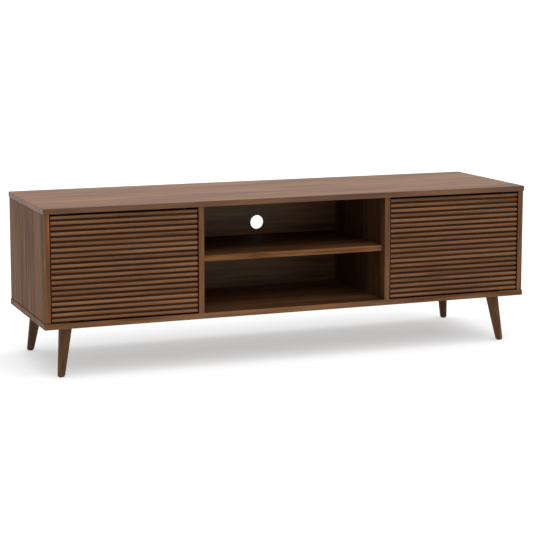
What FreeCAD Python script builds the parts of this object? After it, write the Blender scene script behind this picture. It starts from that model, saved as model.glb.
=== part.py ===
import FreeCAD, Part
import os
import re

import Sketcher

# A low media stand in laminated board: a box of two long panels, two side panels and two
# dividers on four splayed wooden legs. The middle bay is open, with one fixed shelf. Each end
# bay is closed by an inset door faced with horizontal slats, which turns on pivot pins at its
# outer corners and is held by a push latch. The back panel stands in grooves, well in front of
# the rear edge, and leaves a cable space behind it.
#
# Millimetres. +X to the right, +Y to the back, +Z up. The origin is on the floor, under the
# middle of the top panel.

Vector = FreeCAD.Vector
Rotation = FreeCAD.Rotation

# ---------------------------------------------------------------------------------------------
# Driving sizes: one row of the sheet each
# ---------------------------------------------------------------------------------------------
SIZES = [
    ("overall_width", 1400, "length of the top and bottom panels"),
    ("overall_depth", 400, "front edge to rear edge of the top panel"),
    ("leg_height", 134, "floor to underside of the bottom panel"),
    ("inner_height", 286, "clear height between bottom and top panels"),
    ("board_thickness", 15, "laminated board of the carcass"),
    ("end_overhang", 2, "top and bottom panels beyond the side panels"),
    ("front_setback", 2, "side panels and dividers behind the front edge"),
    ("edge_easing", 0.8, "radius on the handled edges of the board"),
    ("centre_bay", 529, "clear width of the open middle bay"),
    ("lower_bay_height", 135.5, "clear height under the shelf"),
    ("shelf_setback", 20, "shelf behind the front of the dividers"),
    ("back_thickness", 5, "back panel"),
    ("back_inset", 50, "cable space behind the back panel"),
    ("groove_depth", 6, "groove that holds the back panel"),
    ("back_tongue", 5.5, "how far the back panel stands in its grooves"),
    ("groove_slack", 0.2, "clearance on each face of the back panel"),
    ("cable_hole", 40, "diameter of the cable hole"),
    ("cable_hole_rise", 35.5, "centre of the cable hole above the shelf"),
    ("cable_hole_shift", 16, "centre of the cable hole to the right of the middle"),
    ("cam_diameter", 15, "cam lock"),
    ("cam_floor", 3, "board left behind a cam lock"),
    ("cam_room", 0.4, "diametral clearance of a bolt inside its cam"),
    ("cam_recess_span", 6, "across the cross recess of a cam"),
    ("cam_recess_width", 1.5, "arm of the cross recess of a cam"),
    ("cam_distance", 34, "centre of a cam from the end of its board"),
    ("cam_offset", 60, "first cam from the front or rear edge"),
    ("cam_bolt_thread", 6, "threaded end of a cam bolt"),
    ("cam_bolt_shank", 5, "plain shank of a cam bolt"),
    ("cam_bolt_head", 7, "head of a cam bolt, inside the cam"),
    ("cam_bolt_head_length", 3, "head of a cam bolt, along its axis"),
    ("cam_bolt_bite", 11, "cam bolt's length in the top or bottom panel"),
    ("cam_bolt_hole", 8, "hole for the shank in the end of an upright"),
    ("dowel_diameter", 8, "wooden dowel"),
    ("dowel_length", 30, "wooden dowel"),
    ("dowel_bite", 10, "dowel's length in the top or bottom panel"),
    ("dowel_bevel", 1, "wooden dowel's ends"),
    ("dowel_spacing", 32, "dowel from the cam beside it"),
    ("hole_slack", 0.1, "radial clearance where a piece passes through a hole freely"),
    ("hole_spare", 0.5, "a blind hole is this much deeper than its fastener"),
    ("shelf_screw_thread", 5, "shelf screw in the shelf"),
    ("shelf_screw_shank", 7, "shelf screw in the divider"),
    ("shelf_screw_head", 10, "shelf screw's head, sunk in the divider"),
    ("shelf_screw_head_height", 3.5, "shelf screw's head"),
    ("shelf_screw_length", 50, "shelf screw over its head"),
    ("shelf_screw_offset", 50, "shelf screw from the front or rear edge of the shelf"),
    ("back_screw_diameter", 3.5, "screw that holds the back panel"),
    ("back_screw_length", 20, "under its head"),
    ("back_screw_head", 7.5, "pan head"),
    ("back_screw_head_height", 2, "pan head"),
    ("back_screw_offset", 40, "from the ends of a divider"),
    ("back_screw_span", 300, "between the two screws in the shelf"),
    ("wood_screw_diameter", 3.5, "countersunk screw"),
    ("wood_screw_head", 7, "countersunk screw"),
    ("wood_screw_head_height", 1.75, "countersunk screw"),
    ("wood_screw_length", 10, "countersunk screw over its head"),
    ("recess_width", 1, "arm of the cross recess in a screw head"),
    ("recess_span", 4, "across the cross recess"),
    ("recess_depth", 1.2, "cross recess"),
    ("leg_top_diameter", 36, "leg where it meets the bottom panel"),
    ("leg_foot_diameter", 20, "leg at its foot"),
    ("leg_splay", 18, "foot from under its top, along X and along Y alike"),
    ("leg_end_inset", 69, "leg top's centre from the end of the bottom panel"),
    ("leg_front_inset", 57, "front leg top's centre from the front edge"),
    ("leg_rear_inset", 29, "rear leg top's centre from the rear edge"),
    ("foot_rounding", 1.5, "round on the rim of the foot"),
    ("glide_diameter", 16, "plastic glide"),
    ("glide_thickness", 3, "plastic glide"),
    ("glide_bevel", 0.8, "plastic glide's lower rim"),
    ("glide_nail", 2.5, "nail of the glide"),
    ("glide_nail_length", 12, "nail of the glide"),
    ("hanger_bolt", 8, "bolt that holds a leg"),
    ("hanger_bolt_in_leg", 28, "bolt that holds a leg"),
    ("hanger_bolt_in_insert", 11, "bolt that holds a leg"),
    ("insert_diameter", 12, "threaded insert in the bottom panel"),
    ("insert_length", 12.5, "threaded insert in the bottom panel"),
    ("thread_bevel", 1, "leading end of the bolt and of the insert"),
    ("door_side_gap", 3.5, "door to the upright on each side"),
    ("door_top_gap", 5.9, "door to the top panel"),
    ("door_bottom_gap", 3.8, "door to the bottom panel"),
    ("door_setback", 3, "crest of the slats behind the front edge"),
    ("door_core", 11, "board behind the slats"),
    ("slat_count", 20, "slats on each door"),
    ("slat_width", 8.5, "height of one slat"),
    ("slat_depth", 7, "how far a slat stands out of the door board"),
    ("slat_rounding", 3, "round on the two front edges of a slat"),
    ("pivot_inset", 24, "pivot from the outer edge of the door, so that its front corner turns clear"),
    ("pin_diameter", 5, "pivot pin"),
    ("pin_reach", 9, "pivot pin's length in the door"),
    ("pin_bevel", 0.6, "pivot pin's tip"),
    ("pin_slack", 0.05, "radial running clearance in the bush"),
    ("bush_diameter", 8, "nylon bush"),
    ("bush_length", 11, "nylon bush"),
    ("plate_length", 50, "pivot plate"),
    ("plate_width", 16, "pivot plate"),
    ("plate_thickness", 2, "pivot plate"),
    ("plate_corner", 2.5, "pivot plate's corner radius"),
    ("plate_screw_span", 34, "between the two screws of a pivot plate"),
    ("washer_diameter", 12, "washer under the door"),
    ("washer_slack", 0.3, "washer to the door's lower edge"),
    ("latch_inset", 30, "latch from the free edge of the door"),
    ("latch_drop", 14, "plunger's axis under the top panel"),
    ("latch_width", 16, "latch housing"),
    ("latch_height", 22, "latch housing"),
    ("latch_length", 58, "latch housing"),
    ("latch_wall", 3, "rear wall of the latch housing"),
    ("flange_width", 36, "latch housing's screw flange"),
    ("flange_length", 30, "latch housing's screw flange"),
    ("flange_thickness", 2, "latch housing's screw flange"),
    ("flange_screw_span", 26, "between the two screws of the flange"),
    ("plunger_diameter", 8, "rod of the push latch"),
    ("plunger_slack", 0.1, "radial clearance of the rod"),
    ("plunger_in_housing", 42, "rod's length in the housing"),
    ("plunger_travel", 3, "how far the door can press it in"),
    ("travel_spare", 1, "gap left behind the tip at full travel"),
    ("tip_diameter", 11, "head of the plunger"),
    ("tip_length", 3.7, "head of the plunger"),
    ("magnet_diameter", 6, "magnet in the plunger's head"),
    ("magnet_thickness", 2, "magnet in the plunger's head"),
    ("striker_diameter", 16, "steel plate on the door's back"),
    ("striker_thickness", 1.8, "steel plate on the door's back"),
    ("latch_gap", 0.3, "plunger's head to the striker"),
    ("spring_wire", 0.8, "latch spring"),
    ("spring_diameter", 6.4, "latch spring, middle of the wire"),
    ("spring_turns", 7, "latch spring"),
]
NAMES = {name for name, amount, note in SIZES}

doc = FreeCAD.newDocument("media_stand")
sheet = doc.addObject("Spreadsheet::Sheet", "sizes")
for row, (name, amount, note) in enumerate(SIZES, start=1):
    sheet.set(f"A{row}", note)
    sheet.set(f"B{row}", str(amount))
    sheet.setAlias(f"B{row}", name)
doc.recompute()

nodes = []


# ---------------------------------------------------------------------------------------------
# Formulas and small helpers
# ---------------------------------------------------------------------------------------------
def in_sheet(formula):
    """Write the sheet's name before every size named in a formula."""
    return re.sub(r"[a-z_]+", lambda word: ("sizes." if word[0] in NAMES else "") + word[0], formula)


def now(formula):
    """The present value of a formula."""
    return float(sheet.evalExpression(in_sheet(formula)))


def bind(thing, prop, formula):
    thing.setExpression(prop, in_sheet(formula))


def place(thing, x, y, z, turn=Rotation()):
    """Put an object at three formulas, turned by a fixed rotation."""
    thing.Placement = FreeCAD.Placement(Vector(), turn)
    for axis, formula in zip("xyz", (x, y, z)):
        bind(thing, f".Placement.Base.{axis}", formula)


def node(thing, label):
    """Name an object and keep it as one piece of the stand."""
    thing.Label = label
    nodes.append(thing)
    return thing


def new_body(name):
    return doc.addObject("PartDesign::Body", name)


def sketch_on(body, role, name, lift="0"):
    """A sketch on one of the body's own origin planes, lifted along its normal."""
    sketch = body.newObject("Sketcher::SketchObject", name)
    plane = next(feature for feature in body.Origin.OriginFeatures if feature.Role == role)
    sketch.AttachmentSupport = (plane, "")
    sketch.MapMode = "FlatFace"
    bind(sketch, ".AttachmentOffset.Base.z", lift)
    return sketch


def pin_point(sketch, shape, spot, across, up):
    """Hold a point of a sketch at two formulas from the sketch's origin."""
    for kind, axis, formula in (("DistanceX", -2, across), ("DistanceY", -1, up)):
        if formula == "0":
            sketch.addConstraint(Sketcher.Constraint("PointOnObject", shape, spot, axis))
            continue
        index = sketch.addConstraint(Sketcher.Constraint(kind, -1, 1, shape, spot, now(formula)))
        sketch.renameConstraint(index, f"{kind}_{shape}")
        bind(sketch, f"Constraints.{kind}_{shape}", formula)


def draw_outline(sketch, corners):
    """A closed outline with straight edges, each corner a pair of formulas."""
    points = [Vector(now(across), now(up), 0) for across, up in corners]
    first = sketch.GeometryCount
    for start, end in zip(points, points[1:] + points[:1]):
        sketch.addGeometry(Part.LineSegment(start, end))
    for index, (across, up) in enumerate(corners):
        following = first + (index + 1) % len(corners)
        sketch.addConstraint(Sketcher.Constraint("Coincident", first + index, 2, following, 1))
        pin_point(sketch, first + index, 1, across, up)


def draw_circle(sketch, across, up, diameter):
    centre = Vector(now(across), now(up), 0)
    ring = sketch.addGeometry(Part.Circle(centre, Vector(0, 0, 1), now(diameter) / 2))
    pin_point(sketch, ring, 3, across, up)
    index = sketch.addConstraint(Sketcher.Constraint("Diameter", ring, now(diameter)))
    sketch.renameConstraint(index, f"Diameter_{ring}")
    bind(sketch, f"Constraints.Diameter_{ring}", diameter)


def rectangle(low_across, low_up, high_across, high_up):
    return [(low_across, low_up), (high_across, low_up), (high_across, high_up), (low_across, high_up)]


def cross(across, up, span, width):
    """The outline of a cross recess around one point."""
    long_arm = f"({span}) / 2"
    short_arm = f"({width}) / 2"
    steps = [(short_arm, long_arm), (short_arm, short_arm), (long_arm, short_arm)]
    signs = [(1, 1), (1, -1), (-1, -1), (-1, 1)]
    corners = []
    for (side, rise), order in zip(signs, (1, -1, 1, -1)):
        for step_across, step_up in steps[::order]:
            corners.append((f"{across} + {side} * {step_across}", f"{up} + {rise} * {step_up}"))
    return corners


# Each direction's sketch plane, and whether a pocket must be reversed to run that way
CUT_PLANES = {
    "+X": ("YZ_Plane", "", True),
    "-X": ("YZ_Plane", "", False),
    "+Y": ("XZ_Plane", "-", False),
    "-Y": ("XZ_Plane", "-", True),
    "+Z": ("XY_Plane", "", True),
    "-Z": ("XY_Plane", "", False),
}


def cut(body, name, toward, start, depth, circles=(), outlines=()):
    """Sink circles or outlines into a body, from a plane at start, towards one direction."""
    role, sign, backwards = CUT_PLANES[toward]
    sketch = sketch_on(body, role, f"{name}_marks", f"{sign}({start})")
    for across, up, diameter in circles:
        draw_circle(sketch, across, up, diameter)
    for corners in outlines:
        draw_outline(sketch, corners)
    doc.recompute()
    before = body.Shape.Volume
    pocket = body.newObject("PartDesign::Pocket", name)
    pocket.Profile = sketch
    pocket.Reversed = backwards
    bind(pocket, "Length", depth)
    doc.recompute()
    if not body.Shape.Volume < before:
        raise RuntimeError(f"{body.Label}: {name} removes nothing")


def ease(body, name, radius, chosen):
    """Round the edges of a body that a test picks by their two ends."""
    doc.recompute()
    base = body.Tip
    names = []
    for index, edge in enumerate(base.Shape.Edges, start=1):
        ends = [vertex.Point for vertex in edge.Vertexes]
        if len(ends) == 2 and chosen(ends[0], ends[1], base.Shape.BoundBox):
            names.append(f"Edge{index}")
    fillet = body.newObject("PartDesign::Fillet", name)
    fillet.Base = (base, names)
    bind(fillet, "Radius", radius)
    doc.recompute()


def board(label, width, depth, height, x, y, z):
    """A rectangular board whose own origin is its left, front, lower corner."""
    body = new_body(label)
    sketch = sketch_on(body, "XY_Plane", f"{label}_outline")
    draw_outline(sketch, rectangle("0", "0", width, depth))
    pad = body.newObject("PartDesign::Pad", f"{label}_slab")
    pad.Profile = sketch
    bind(pad, "Length", height)
    place(body, x, y, z)
    return node(body, label)


def turned(name, corners):
    """A turned piece: an outline of (radius, height) pairs spun about Z."""
    body = new_body(name)
    sketch = sketch_on(body, "XZ_Plane", f"{name}_profile")
    draw_outline(sketch, corners)
    spin = body.newObject("PartDesign::Revolution", f"{name}_spin")
    spin.Profile = sketch
    spin.ReferenceAxis = (sketch, ["V_Axis"])
    spin.Angle = 360
    return body


def copies(label, pattern, places):
    """One node of separate solids: a linked copy of a pattern piece at each place."""
    links = []
    for index, (x, y, z, turn) in enumerate(places, start=1):
        link = doc.addObject("App::Link", f"{label}_{index}")
        link.LinkedObject = pattern
        place(link, x, y, z, turn)
        links.append(link)
    group = doc.addObject("Part::Compound", label)
    group.Links = links
    return node(group, label)


def primitive(kind, name, x, y, z, turn=Rotation(), **formulas):
    """A Part primitive with every given size bound to a formula."""
    thing = doc.addObject(f"Part::{kind}", name)
    for prop, formula in formulas.items():
        bind(thing, prop, formula)
    place(thing, x, y, z, turn)
    return thing


# Turns that lay a piece modelled along +Z onto another direction
UPRIGHT = Rotation()
DOWNWARD = Rotation(Vector(1, 0, 0), 180)
TO_BACK = Rotation(Vector(1, 0, 0), -90)
TO_FRONT = Rotation(Vector(1, 0, 0), 90)
TO_RIGHT = Rotation(Vector(0, 1, 0), 90)
TO_LEFT = Rotation(Vector(0, 1, 0), -90)

# ---------------------------------------------------------------------------------------------
# Places that several pieces share
# ---------------------------------------------------------------------------------------------
FRONT = "(-overall_depth / 2)"
REAR = "(overall_depth / 2)"
LEFT_END = "(-overall_width / 2)"
BAY_FLOOR = "(leg_height + board_thickness)"
BAY_CEILING = "(leg_height + board_thickness + inner_height)"
SIDE_FACE = "(overall_width / 2 - end_overhang - board_thickness)"
SIDE_MIDDLE = "(overall_width / 2 - end_overhang - board_thickness / 2)"
DIVIDER_FACE = "(centre_bay / 2)"
DIVIDER_OUTER = "(centre_bay / 2 + board_thickness)"
DIVIDER_MIDDLE = "(centre_bay / 2 + board_thickness / 2)"
UPRIGHT_FRONT = "(-overall_depth / 2 + front_setback)"
BACK_FACE = "(overall_depth / 2 - back_inset - back_thickness)"
SIDE_DEPTH = "(overall_depth - front_setback)"
DIVIDER_DEPTH = "(overall_depth - front_setback - back_inset - back_thickness)"
SHELF_DEPTH = f"({DIVIDER_DEPTH} - shelf_setback)"
SHELF_BASE = "(leg_height + board_thickness + lower_bay_height)"

# Along Y, where each kind of upright is joined to the top and bottom panels
FRONT_CAM = f"({UPRIGHT_FRONT} + cam_offset)"
FRONT_DOWEL = f"({UPRIGHT_FRONT} + cam_offset + dowel_spacing)"
UPRIGHTS = [
    (
        SIDE_MIDDLE,
        [FRONT_CAM, "(overall_depth / 2 - back_inset / 2)"],
        [FRONT_DOWEL, f"({BACK_FACE} - dowel_spacing)"],
    ),
    (
        DIVIDER_MIDDLE,
        [FRONT_CAM, f"({BACK_FACE} - cam_offset)"],
        [FRONT_DOWEL, f"({BACK_FACE} - cam_offset - dowel_spacing)"],
    ),
]
SIDES = [("left", -1), ("right", 1)]

# How deep each fastener is sunk in its board
CAM_DEPTH = "(board_thickness - cam_floor)"
CAM_BOLT_REACH = "(cam_distance + cam_bolt_head_length / 2)"
BACK_SCREW_PILOT = "(back_screw_length - back_thickness + hole_spare)"
SHELF_SCREW_PILOT = "(shelf_screw_length - board_thickness + hole_spare)"

# Heights of the back panel's screws in a divider, above the bottom panel
BACK_SCREW_HEIGHTS = ["back_screw_offset", "(inner_height / 2)", "(inner_height - back_screw_offset)"]

# The door and what it turns on
DOOR_OUTER = f"({SIDE_FACE} - door_side_gap)"
DOOR_FREE = f"({DIVIDER_OUTER} + door_side_gap)"
DOOR_WIDTH = f"({DOOR_OUTER} - {DOOR_FREE})"
DOOR_BASE = f"({BAY_FLOOR} + door_bottom_gap)"
DOOR_HEIGHT = "(inner_height - door_bottom_gap - door_top_gap)"
CORE_FRONT = f"({FRONT} + door_setback + slat_depth)"
DOOR_BACK = f"({CORE_FRONT} + door_core)"
PIVOT_ACROSS = f"({DOOR_OUTER} - pivot_inset)"
PIVOT_BACK = f"({CORE_FRONT} + door_core / 2)"

# The push latch
LATCH_ACROSS = f"({DOOR_FREE} + latch_inset)"
LATCH_AXIS = f"({BAY_CEILING} - latch_drop)"
TIP_FRONT = f"({DOOR_BACK} + striker_thickness + latch_gap)"
HOUSING_FRONT = f"({TIP_FRONT} + tip_length + plunger_travel + travel_spare)"
BORE_LENGTH = "(latch_length - latch_wall)"
FLANGE_MIDDLE = f"({HOUSING_FRONT} + latch_length / 2)"

# The legs: name, side along X, side along Y, centre of the leg's top along Y
LEGS = [
    ("front_left", -1, -1, f"({FRONT} + leg_front_inset)"),
    ("front_right", 1, -1, f"({FRONT} + leg_front_inset)"),
    ("rear_left", -1, 1, f"({REAR} - leg_rear_inset)"),
    ("rear_right", 1, 1, f"({REAR} - leg_rear_inset)"),
]
LEG_ACROSS = "(overall_width / 2 - leg_end_inset)"


def loose(diameter):
    """A hole that a fastener of this diameter passes through freely."""
    return f"{diameter} + 2 * hole_slack"


# ---------------------------------------------------------------------------------------------
# Carcass boards
# ---------------------------------------------------------------------------------------------
def is_outer_edge(start, end, box):
    """True for a straight edge that lies along an edge of the board's bounding box."""
    on_limits = 0
    for axis, low, high in (("x", box.XMin, box.XMax), ("y", box.YMin, box.YMax), ("z", box.ZMin, box.ZMax)):
        first = getattr(start, axis)
        second = getattr(end, axis)
        if abs(first - second) < 1e-6 and min(abs(first - low), abs(first - high)) < 1e-6:
            on_limits += 1
    return on_limits == 2


def is_upright_edge(start, end, box):
    """True for an outer edge that runs the board's full height."""
    return is_outer_edge(start, end, box) and abs(abs(start.z - end.z) - box.ZLength) < 1e-6


def is_front_edge(start, end, box):
    """True for an outer edge along the front of the board, from end to end."""
    return is_outer_edge(start, end, box) and max(start.y, end.y) < box.YMin + 1e-6


def is_front_upright_edge(start, end, box):
    """True for an outer edge that is both upright and at the front."""
    return is_upright_edge(start, end, box) and is_front_edge(start, end, box)


def is_back_edge(start, end, box):
    """True for an outer edge around the back face."""
    return is_outer_edge(start, end, box) and min(start.y, end.y) > box.YMax - 1e-6


def is_short_upright_edge(start, end, box):
    """True for an outer edge through the thickness of a plate that lies flat."""
    return is_outer_edge(start, end, box) and abs(start.z - end.z) > box.ZLength / 2


def from_board(formula, origin):
    """A global place, measured from a board's own origin."""
    return f"({formula} - {origin})"


def long_panel(label, z, joint_face, toward):
    """The top or the bottom panel, with the holes for everything that joins it."""
    panel = board(label, "overall_width", "overall_depth", "board_thickness", LEFT_END, FRONT, z)
    bolts = []
    dowels = []
    screws = []
    for side, sign in SIDES:
        for middle, cams, pegs in UPRIGHTS:
            across = f"(overall_width / 2 + {sign} * {middle})"
            bolts += [(across, from_board(cam, FRONT), "cam_bolt_thread") for cam in cams]
            dowels += [(across, from_board(peg, FRONT), "dowel_diameter") for peg in pegs]
        for step in (-1, 1):
            across = f"(overall_width / 2 + {sign} * {PIVOT_ACROSS} + {step} * plate_screw_span / 2)"
            screws.append((across, from_board(PIVOT_BACK, FRONT), "wood_screw_diameter"))
    groove = rectangle(
        f"overall_width / 2 - {SIDE_FACE} - groove_depth",
        f"{from_board(BACK_FACE, FRONT)} - groove_slack",
        f"overall_width / 2 + {SIDE_FACE} + groove_depth",
        f"{from_board(BACK_FACE, FRONT)} + back_thickness + groove_slack",
    )
    cut(panel, f"{label}_bolt_holes", toward, joint_face, "cam_bolt_bite + hole_spare", circles=bolts)
    cut(panel, f"{label}_dowel_holes", toward, joint_face, "dowel_bite + hole_spare", circles=dowels)
    cut(panel, f"{label}_groove", toward, joint_face, "groove_depth", outlines=[groove])
    plate_bite = "wood_screw_length - plate_thickness + hole_spare"
    cut(panel, f"{label}_pivot_screw_holes", toward, joint_face, plate_bite, circles=screws)
    return panel


top_panel = long_panel("top_panel", BAY_CEILING, "0", "+Z")
latch_screws = []
for side, sign in SIDES:
    for step in (-1, 1):
        across = f"(overall_width / 2 + {sign} * {LATCH_ACROSS} + {step} * flange_screw_span / 2)"
        latch_screws.append((across, from_board(FLANGE_MIDDLE, FRONT), "wood_screw_diameter"))
flange_bite = "wood_screw_length - flange_thickness + hole_spare"
cut(top_panel, "top_panel_latch_screw_holes", "+Z", "0", flange_bite, circles=latch_screws)
ease(top_panel, "top_panel_eased", "edge_easing", is_outer_edge)

bottom_panel = long_panel("bottom_panel", "leg_height", "board_thickness", "-Z")
insert_holes = []
for name, side_x, side_y, top_y in LEGS:
    across = f"(overall_width / 2 + {side_x} * {LEG_ACROSS})"
    insert_holes.append((across, from_board(top_y, FRONT), "insert_diameter"))
cut(bottom_panel, "bottom_panel_insert_holes", "+Z", "0", "insert_length + hole_spare", circles=insert_holes)
ease(bottom_panel, "bottom_panel_eased", "edge_easing", is_outer_edge)


def upright(label, depth, x, cam_face, cam_toward, cams, dowels):
    """A side panel or divider: cams sunk in one face, bolt and dowel holes in both ends."""
    panel = board(label, "board_thickness", depth, "inner_height", x, UPRIGHT_FRONT, BAY_FLOOR)
    middle = "board_thickness / 2"
    cam_places = []
    for cam in cams:
        along = from_board(cam, UPRIGHT_FRONT)
        for height in ("cam_distance", "(inner_height - cam_distance)"):
            cam_places.append((along, height, loose("cam_diameter")))
    cut(panel, f"{label}_cam_holes", cam_toward, cam_face, CAM_DEPTH, circles=cam_places)
    bolts = [(middle, from_board(cam, UPRIGHT_FRONT), "cam_bolt_hole") for cam in cams]
    pegs = [(middle, from_board(dowel, UPRIGHT_FRONT), "dowel_diameter") for dowel in dowels]
    bolt_depth = f"{CAM_BOLT_REACH} + hole_spare"
    peg_depth = "dowel_length - dowel_bite + hole_spare"
    for end, start, toward in (("lower", "0", "+Z"), ("upper", "inner_height", "-Z")):
        cut(panel, f"{label}_{end}_bolt_holes", toward, start, bolt_depth, circles=bolts)
        cut(panel, f"{label}_{end}_dowel_holes", toward, start, peg_depth, circles=pegs)
    return panel


for side, sign in SIDES:
    middle, cams, pegs = UPRIGHTS[0]
    inner_face = "board_thickness" if sign < 0 else "0"
    outward = "-X" if sign < 0 else "+X"
    label = f"{side}_side_panel"
    x = f"({sign} * {middle} - board_thickness / 2)"
    panel = upright(label, SIDE_DEPTH, x, inner_face, outward, cams, pegs)
    groove = rectangle(
        f"{from_board(BACK_FACE, UPRIGHT_FRONT)} - groove_slack",
        "0",
        f"{from_board(BACK_FACE, UPRIGHT_FRONT)} + back_thickness + groove_slack",
        "inner_height",
    )
    cut(panel, f"{label}_groove", outward, inner_face, "groove_depth", outlines=[groove])
    ease(panel, f"{label}_eased", "edge_easing", is_upright_edge)

    middle, cams, pegs = UPRIGHTS[1]
    bay_face = "0" if sign < 0 else "board_thickness"
    inward = "+X" if sign < 0 else "-X"
    label = f"{side}_divider"
    x = f"({sign} * {middle} - board_thickness / 2)"
    panel = upright(label, DIVIDER_DEPTH, x, bay_face, inward, cams, pegs)
    shelf_height = "(lower_bay_height + board_thickness / 2)"
    spots = ["(shelf_setback + shelf_screw_offset)", f"({DIVIDER_DEPTH} - shelf_screw_offset)"]
    shanks = [(spot, shelf_height, loose("shelf_screw_shank")) for spot in spots]
    heads = [(spot, shelf_height, loose("shelf_screw_head")) for spot in spots]
    cut(panel, f"{label}_shelf_screw_holes", inward, bay_face, "board_thickness", circles=shanks)
    cut(panel, f"{label}_shelf_head_sinks", inward, bay_face, "shelf_screw_head_height", circles=heads)
    pilots = [("board_thickness / 2", height, "back_screw_diameter") for height in BACK_SCREW_HEIGHTS]
    cut(panel, f"{label}_back_screw_holes", "-Y", DIVIDER_DEPTH, BACK_SCREW_PILOT, circles=pilots)
    ease(panel, f"{label}_eased", "edge_easing", is_front_upright_edge)

centre_shelf = board(
    "centre_shelf", "centre_bay", SHELF_DEPTH, "board_thickness",
    f"-{DIVIDER_FACE}", f"({UPRIGHT_FRONT} + shelf_setback)", SHELF_BASE,
)
screw_spots = ["shelf_screw_offset", f"({SHELF_DEPTH} - shelf_screw_offset)"]
pilots = [(spot, "board_thickness / 2", "shelf_screw_thread") for spot in screw_spots]
cut(centre_shelf, "centre_shelf_left_pilots", "+X", "0", SHELF_SCREW_PILOT, circles=pilots)
cut(centre_shelf, "centre_shelf_right_pilots", "-X", "centre_bay", SHELF_SCREW_PILOT, circles=pilots)
rear_pilots = []
for step in (-1, 1):
    across = f"(centre_bay / 2 + {step} * back_screw_span / 2)"
    rear_pilots.append((across, "board_thickness / 2", "back_screw_diameter"))
cut(centre_shelf, "centre_shelf_rear_pilots", "-Y", SHELF_DEPTH, BACK_SCREW_PILOT, circles=rear_pilots)
ease(centre_shelf, "centre_shelf_eased", "edge_easing", is_front_edge)

# The back panel stands in grooves on all four sides; its own origin is its lower left corner
BACK_LEFT = f"({SIDE_FACE} + back_tongue)"
back_panel = board(
    "back_panel", f"2 * {BACK_LEFT}", "back_thickness", "inner_height + 2 * back_tongue",
    f"-{BACK_LEFT}", BACK_FACE, f"({BAY_FLOOR} - back_tongue)",
)
BACK_SCREWS = []
for side, sign in SIDES:
    for height in BACK_SCREW_HEIGHTS:
        BACK_SCREWS.append((f"{sign} * {DIVIDER_MIDDLE}", f"({BAY_FLOOR} + {height})"))
    BACK_SCREWS.append((f"{sign} * back_screw_span / 2", f"({SHELF_BASE} + board_thickness / 2)"))
through = []
for across, height in BACK_SCREWS:
    low = f"({BAY_FLOOR} - back_tongue)"
    through.append((f"{BACK_LEFT} + {across}", f"{height} - {low}", loose("back_screw_diameter")))
cut(back_panel, "back_panel_screw_holes", "+Y", "0", "back_thickness", circles=through)
hole_height = "back_tongue + lower_bay_height + board_thickness + cable_hole_rise"
cut(back_panel, "back_panel_cable_hole", "+Y", "0", "back_thickness",
    circles=[(f"{BACK_LEFT} + cable_hole_shift", hole_height, "cable_hole")])

# ---------------------------------------------------------------------------------------------
# Carcass fasteners
# ---------------------------------------------------------------------------------------------
# A cam: a drum along Z whose open face is at z = 0; the bolt enters it from +X, half a board
# down from that face
cam = turned("cam_pattern", [
    ("0", "0"), ("cam_diameter / 2", "0"), ("cam_diameter / 2", CAM_DEPTH), ("0", CAM_DEPTH),
])
bolt_level = "board_thickness / 2"
cut(cam, "cam_shank_way", "+X", "0", "cam_diameter / 2",
    circles=[("0", bolt_level, "cam_bolt_shank + cam_room")])
cut(cam, "cam_head_room", "-X", "cam_bolt_head_length / 2", "cam_bolt_head_length + hole_spare",
    circles=[("0", bolt_level, "cam_bolt_head + cam_room")])
cut(cam, "cam_recess", "+Z", "0", "recess_depth",
    outlines=[cross("0", "0", "cam_recess_span", "cam_recess_width")])

# A cam bolt: z = 0 is the face of the long panel, and the head reaches the cam's middle
cam_bolt = turned("cam_bolt_pattern", [
    ("0", "-cam_bolt_bite"),
    ("cam_bolt_thread / 2", "-cam_bolt_bite"),
    ("cam_bolt_thread / 2", "0"),
    ("cam_bolt_shank / 2", "0"),
    ("cam_bolt_shank / 2", "cam_distance - cam_bolt_head_length / 2"),
    ("cam_bolt_head / 2", "cam_distance - cam_bolt_head_length / 2"),
    ("cam_bolt_head / 2", CAM_BOLT_REACH),
    ("0", CAM_BOLT_REACH),
])

# A dowel: z = 0 is the face of the long panel, and both ends are bevelled
dowel = turned("dowel_pattern", [
    ("0", "-dowel_bite"),
    ("dowel_diameter / 2 - dowel_bevel", "-dowel_bite"),
    ("dowel_diameter / 2", "dowel_bevel - dowel_bite"),
    ("dowel_diameter / 2", "dowel_length - dowel_bite - dowel_bevel"),
    ("dowel_diameter / 2 - dowel_bevel", "dowel_length - dowel_bite"),
    ("0", "dowel_length - dowel_bite"),
])

cam_places = []
bolt_places = []
dowel_places = []
# A cam's drum axis points into its board; its bolt side turns up at the top and down at the foot
for side, sign in SIDES:
    for (middle, cams, pegs), outward in zip(UPRIGHTS, (1, -1)):
        centre = f"{sign} * {middle}"
        face = f"({centre} - {sign * outward} * board_thickness / 2)"
        into_board = Vector(sign * outward, 0, 0)
        for level, up in ((BAY_CEILING, 1), (BAY_FLOOR, -1)):
            turn = Rotation(Vector(0, 0, up), Vector(0, up * sign * outward, 0), into_board, "ZXY")
            bolt_turn = DOWNWARD if up > 0 else UPRIGHT
            for along in cams:
                cam_places.append((face, along, f"({level} - {up} * cam_distance)", turn))
                bolt_places.append((centre, along, level, bolt_turn))
            for along in pegs:
                dowel_places.append((centre, along, level, bolt_turn))
copies("cam_locks", cam, cam_places)
copies("cam_bolts", cam_bolt, bolt_places)
copies("panel_dowels", dowel, dowel_places)


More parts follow.
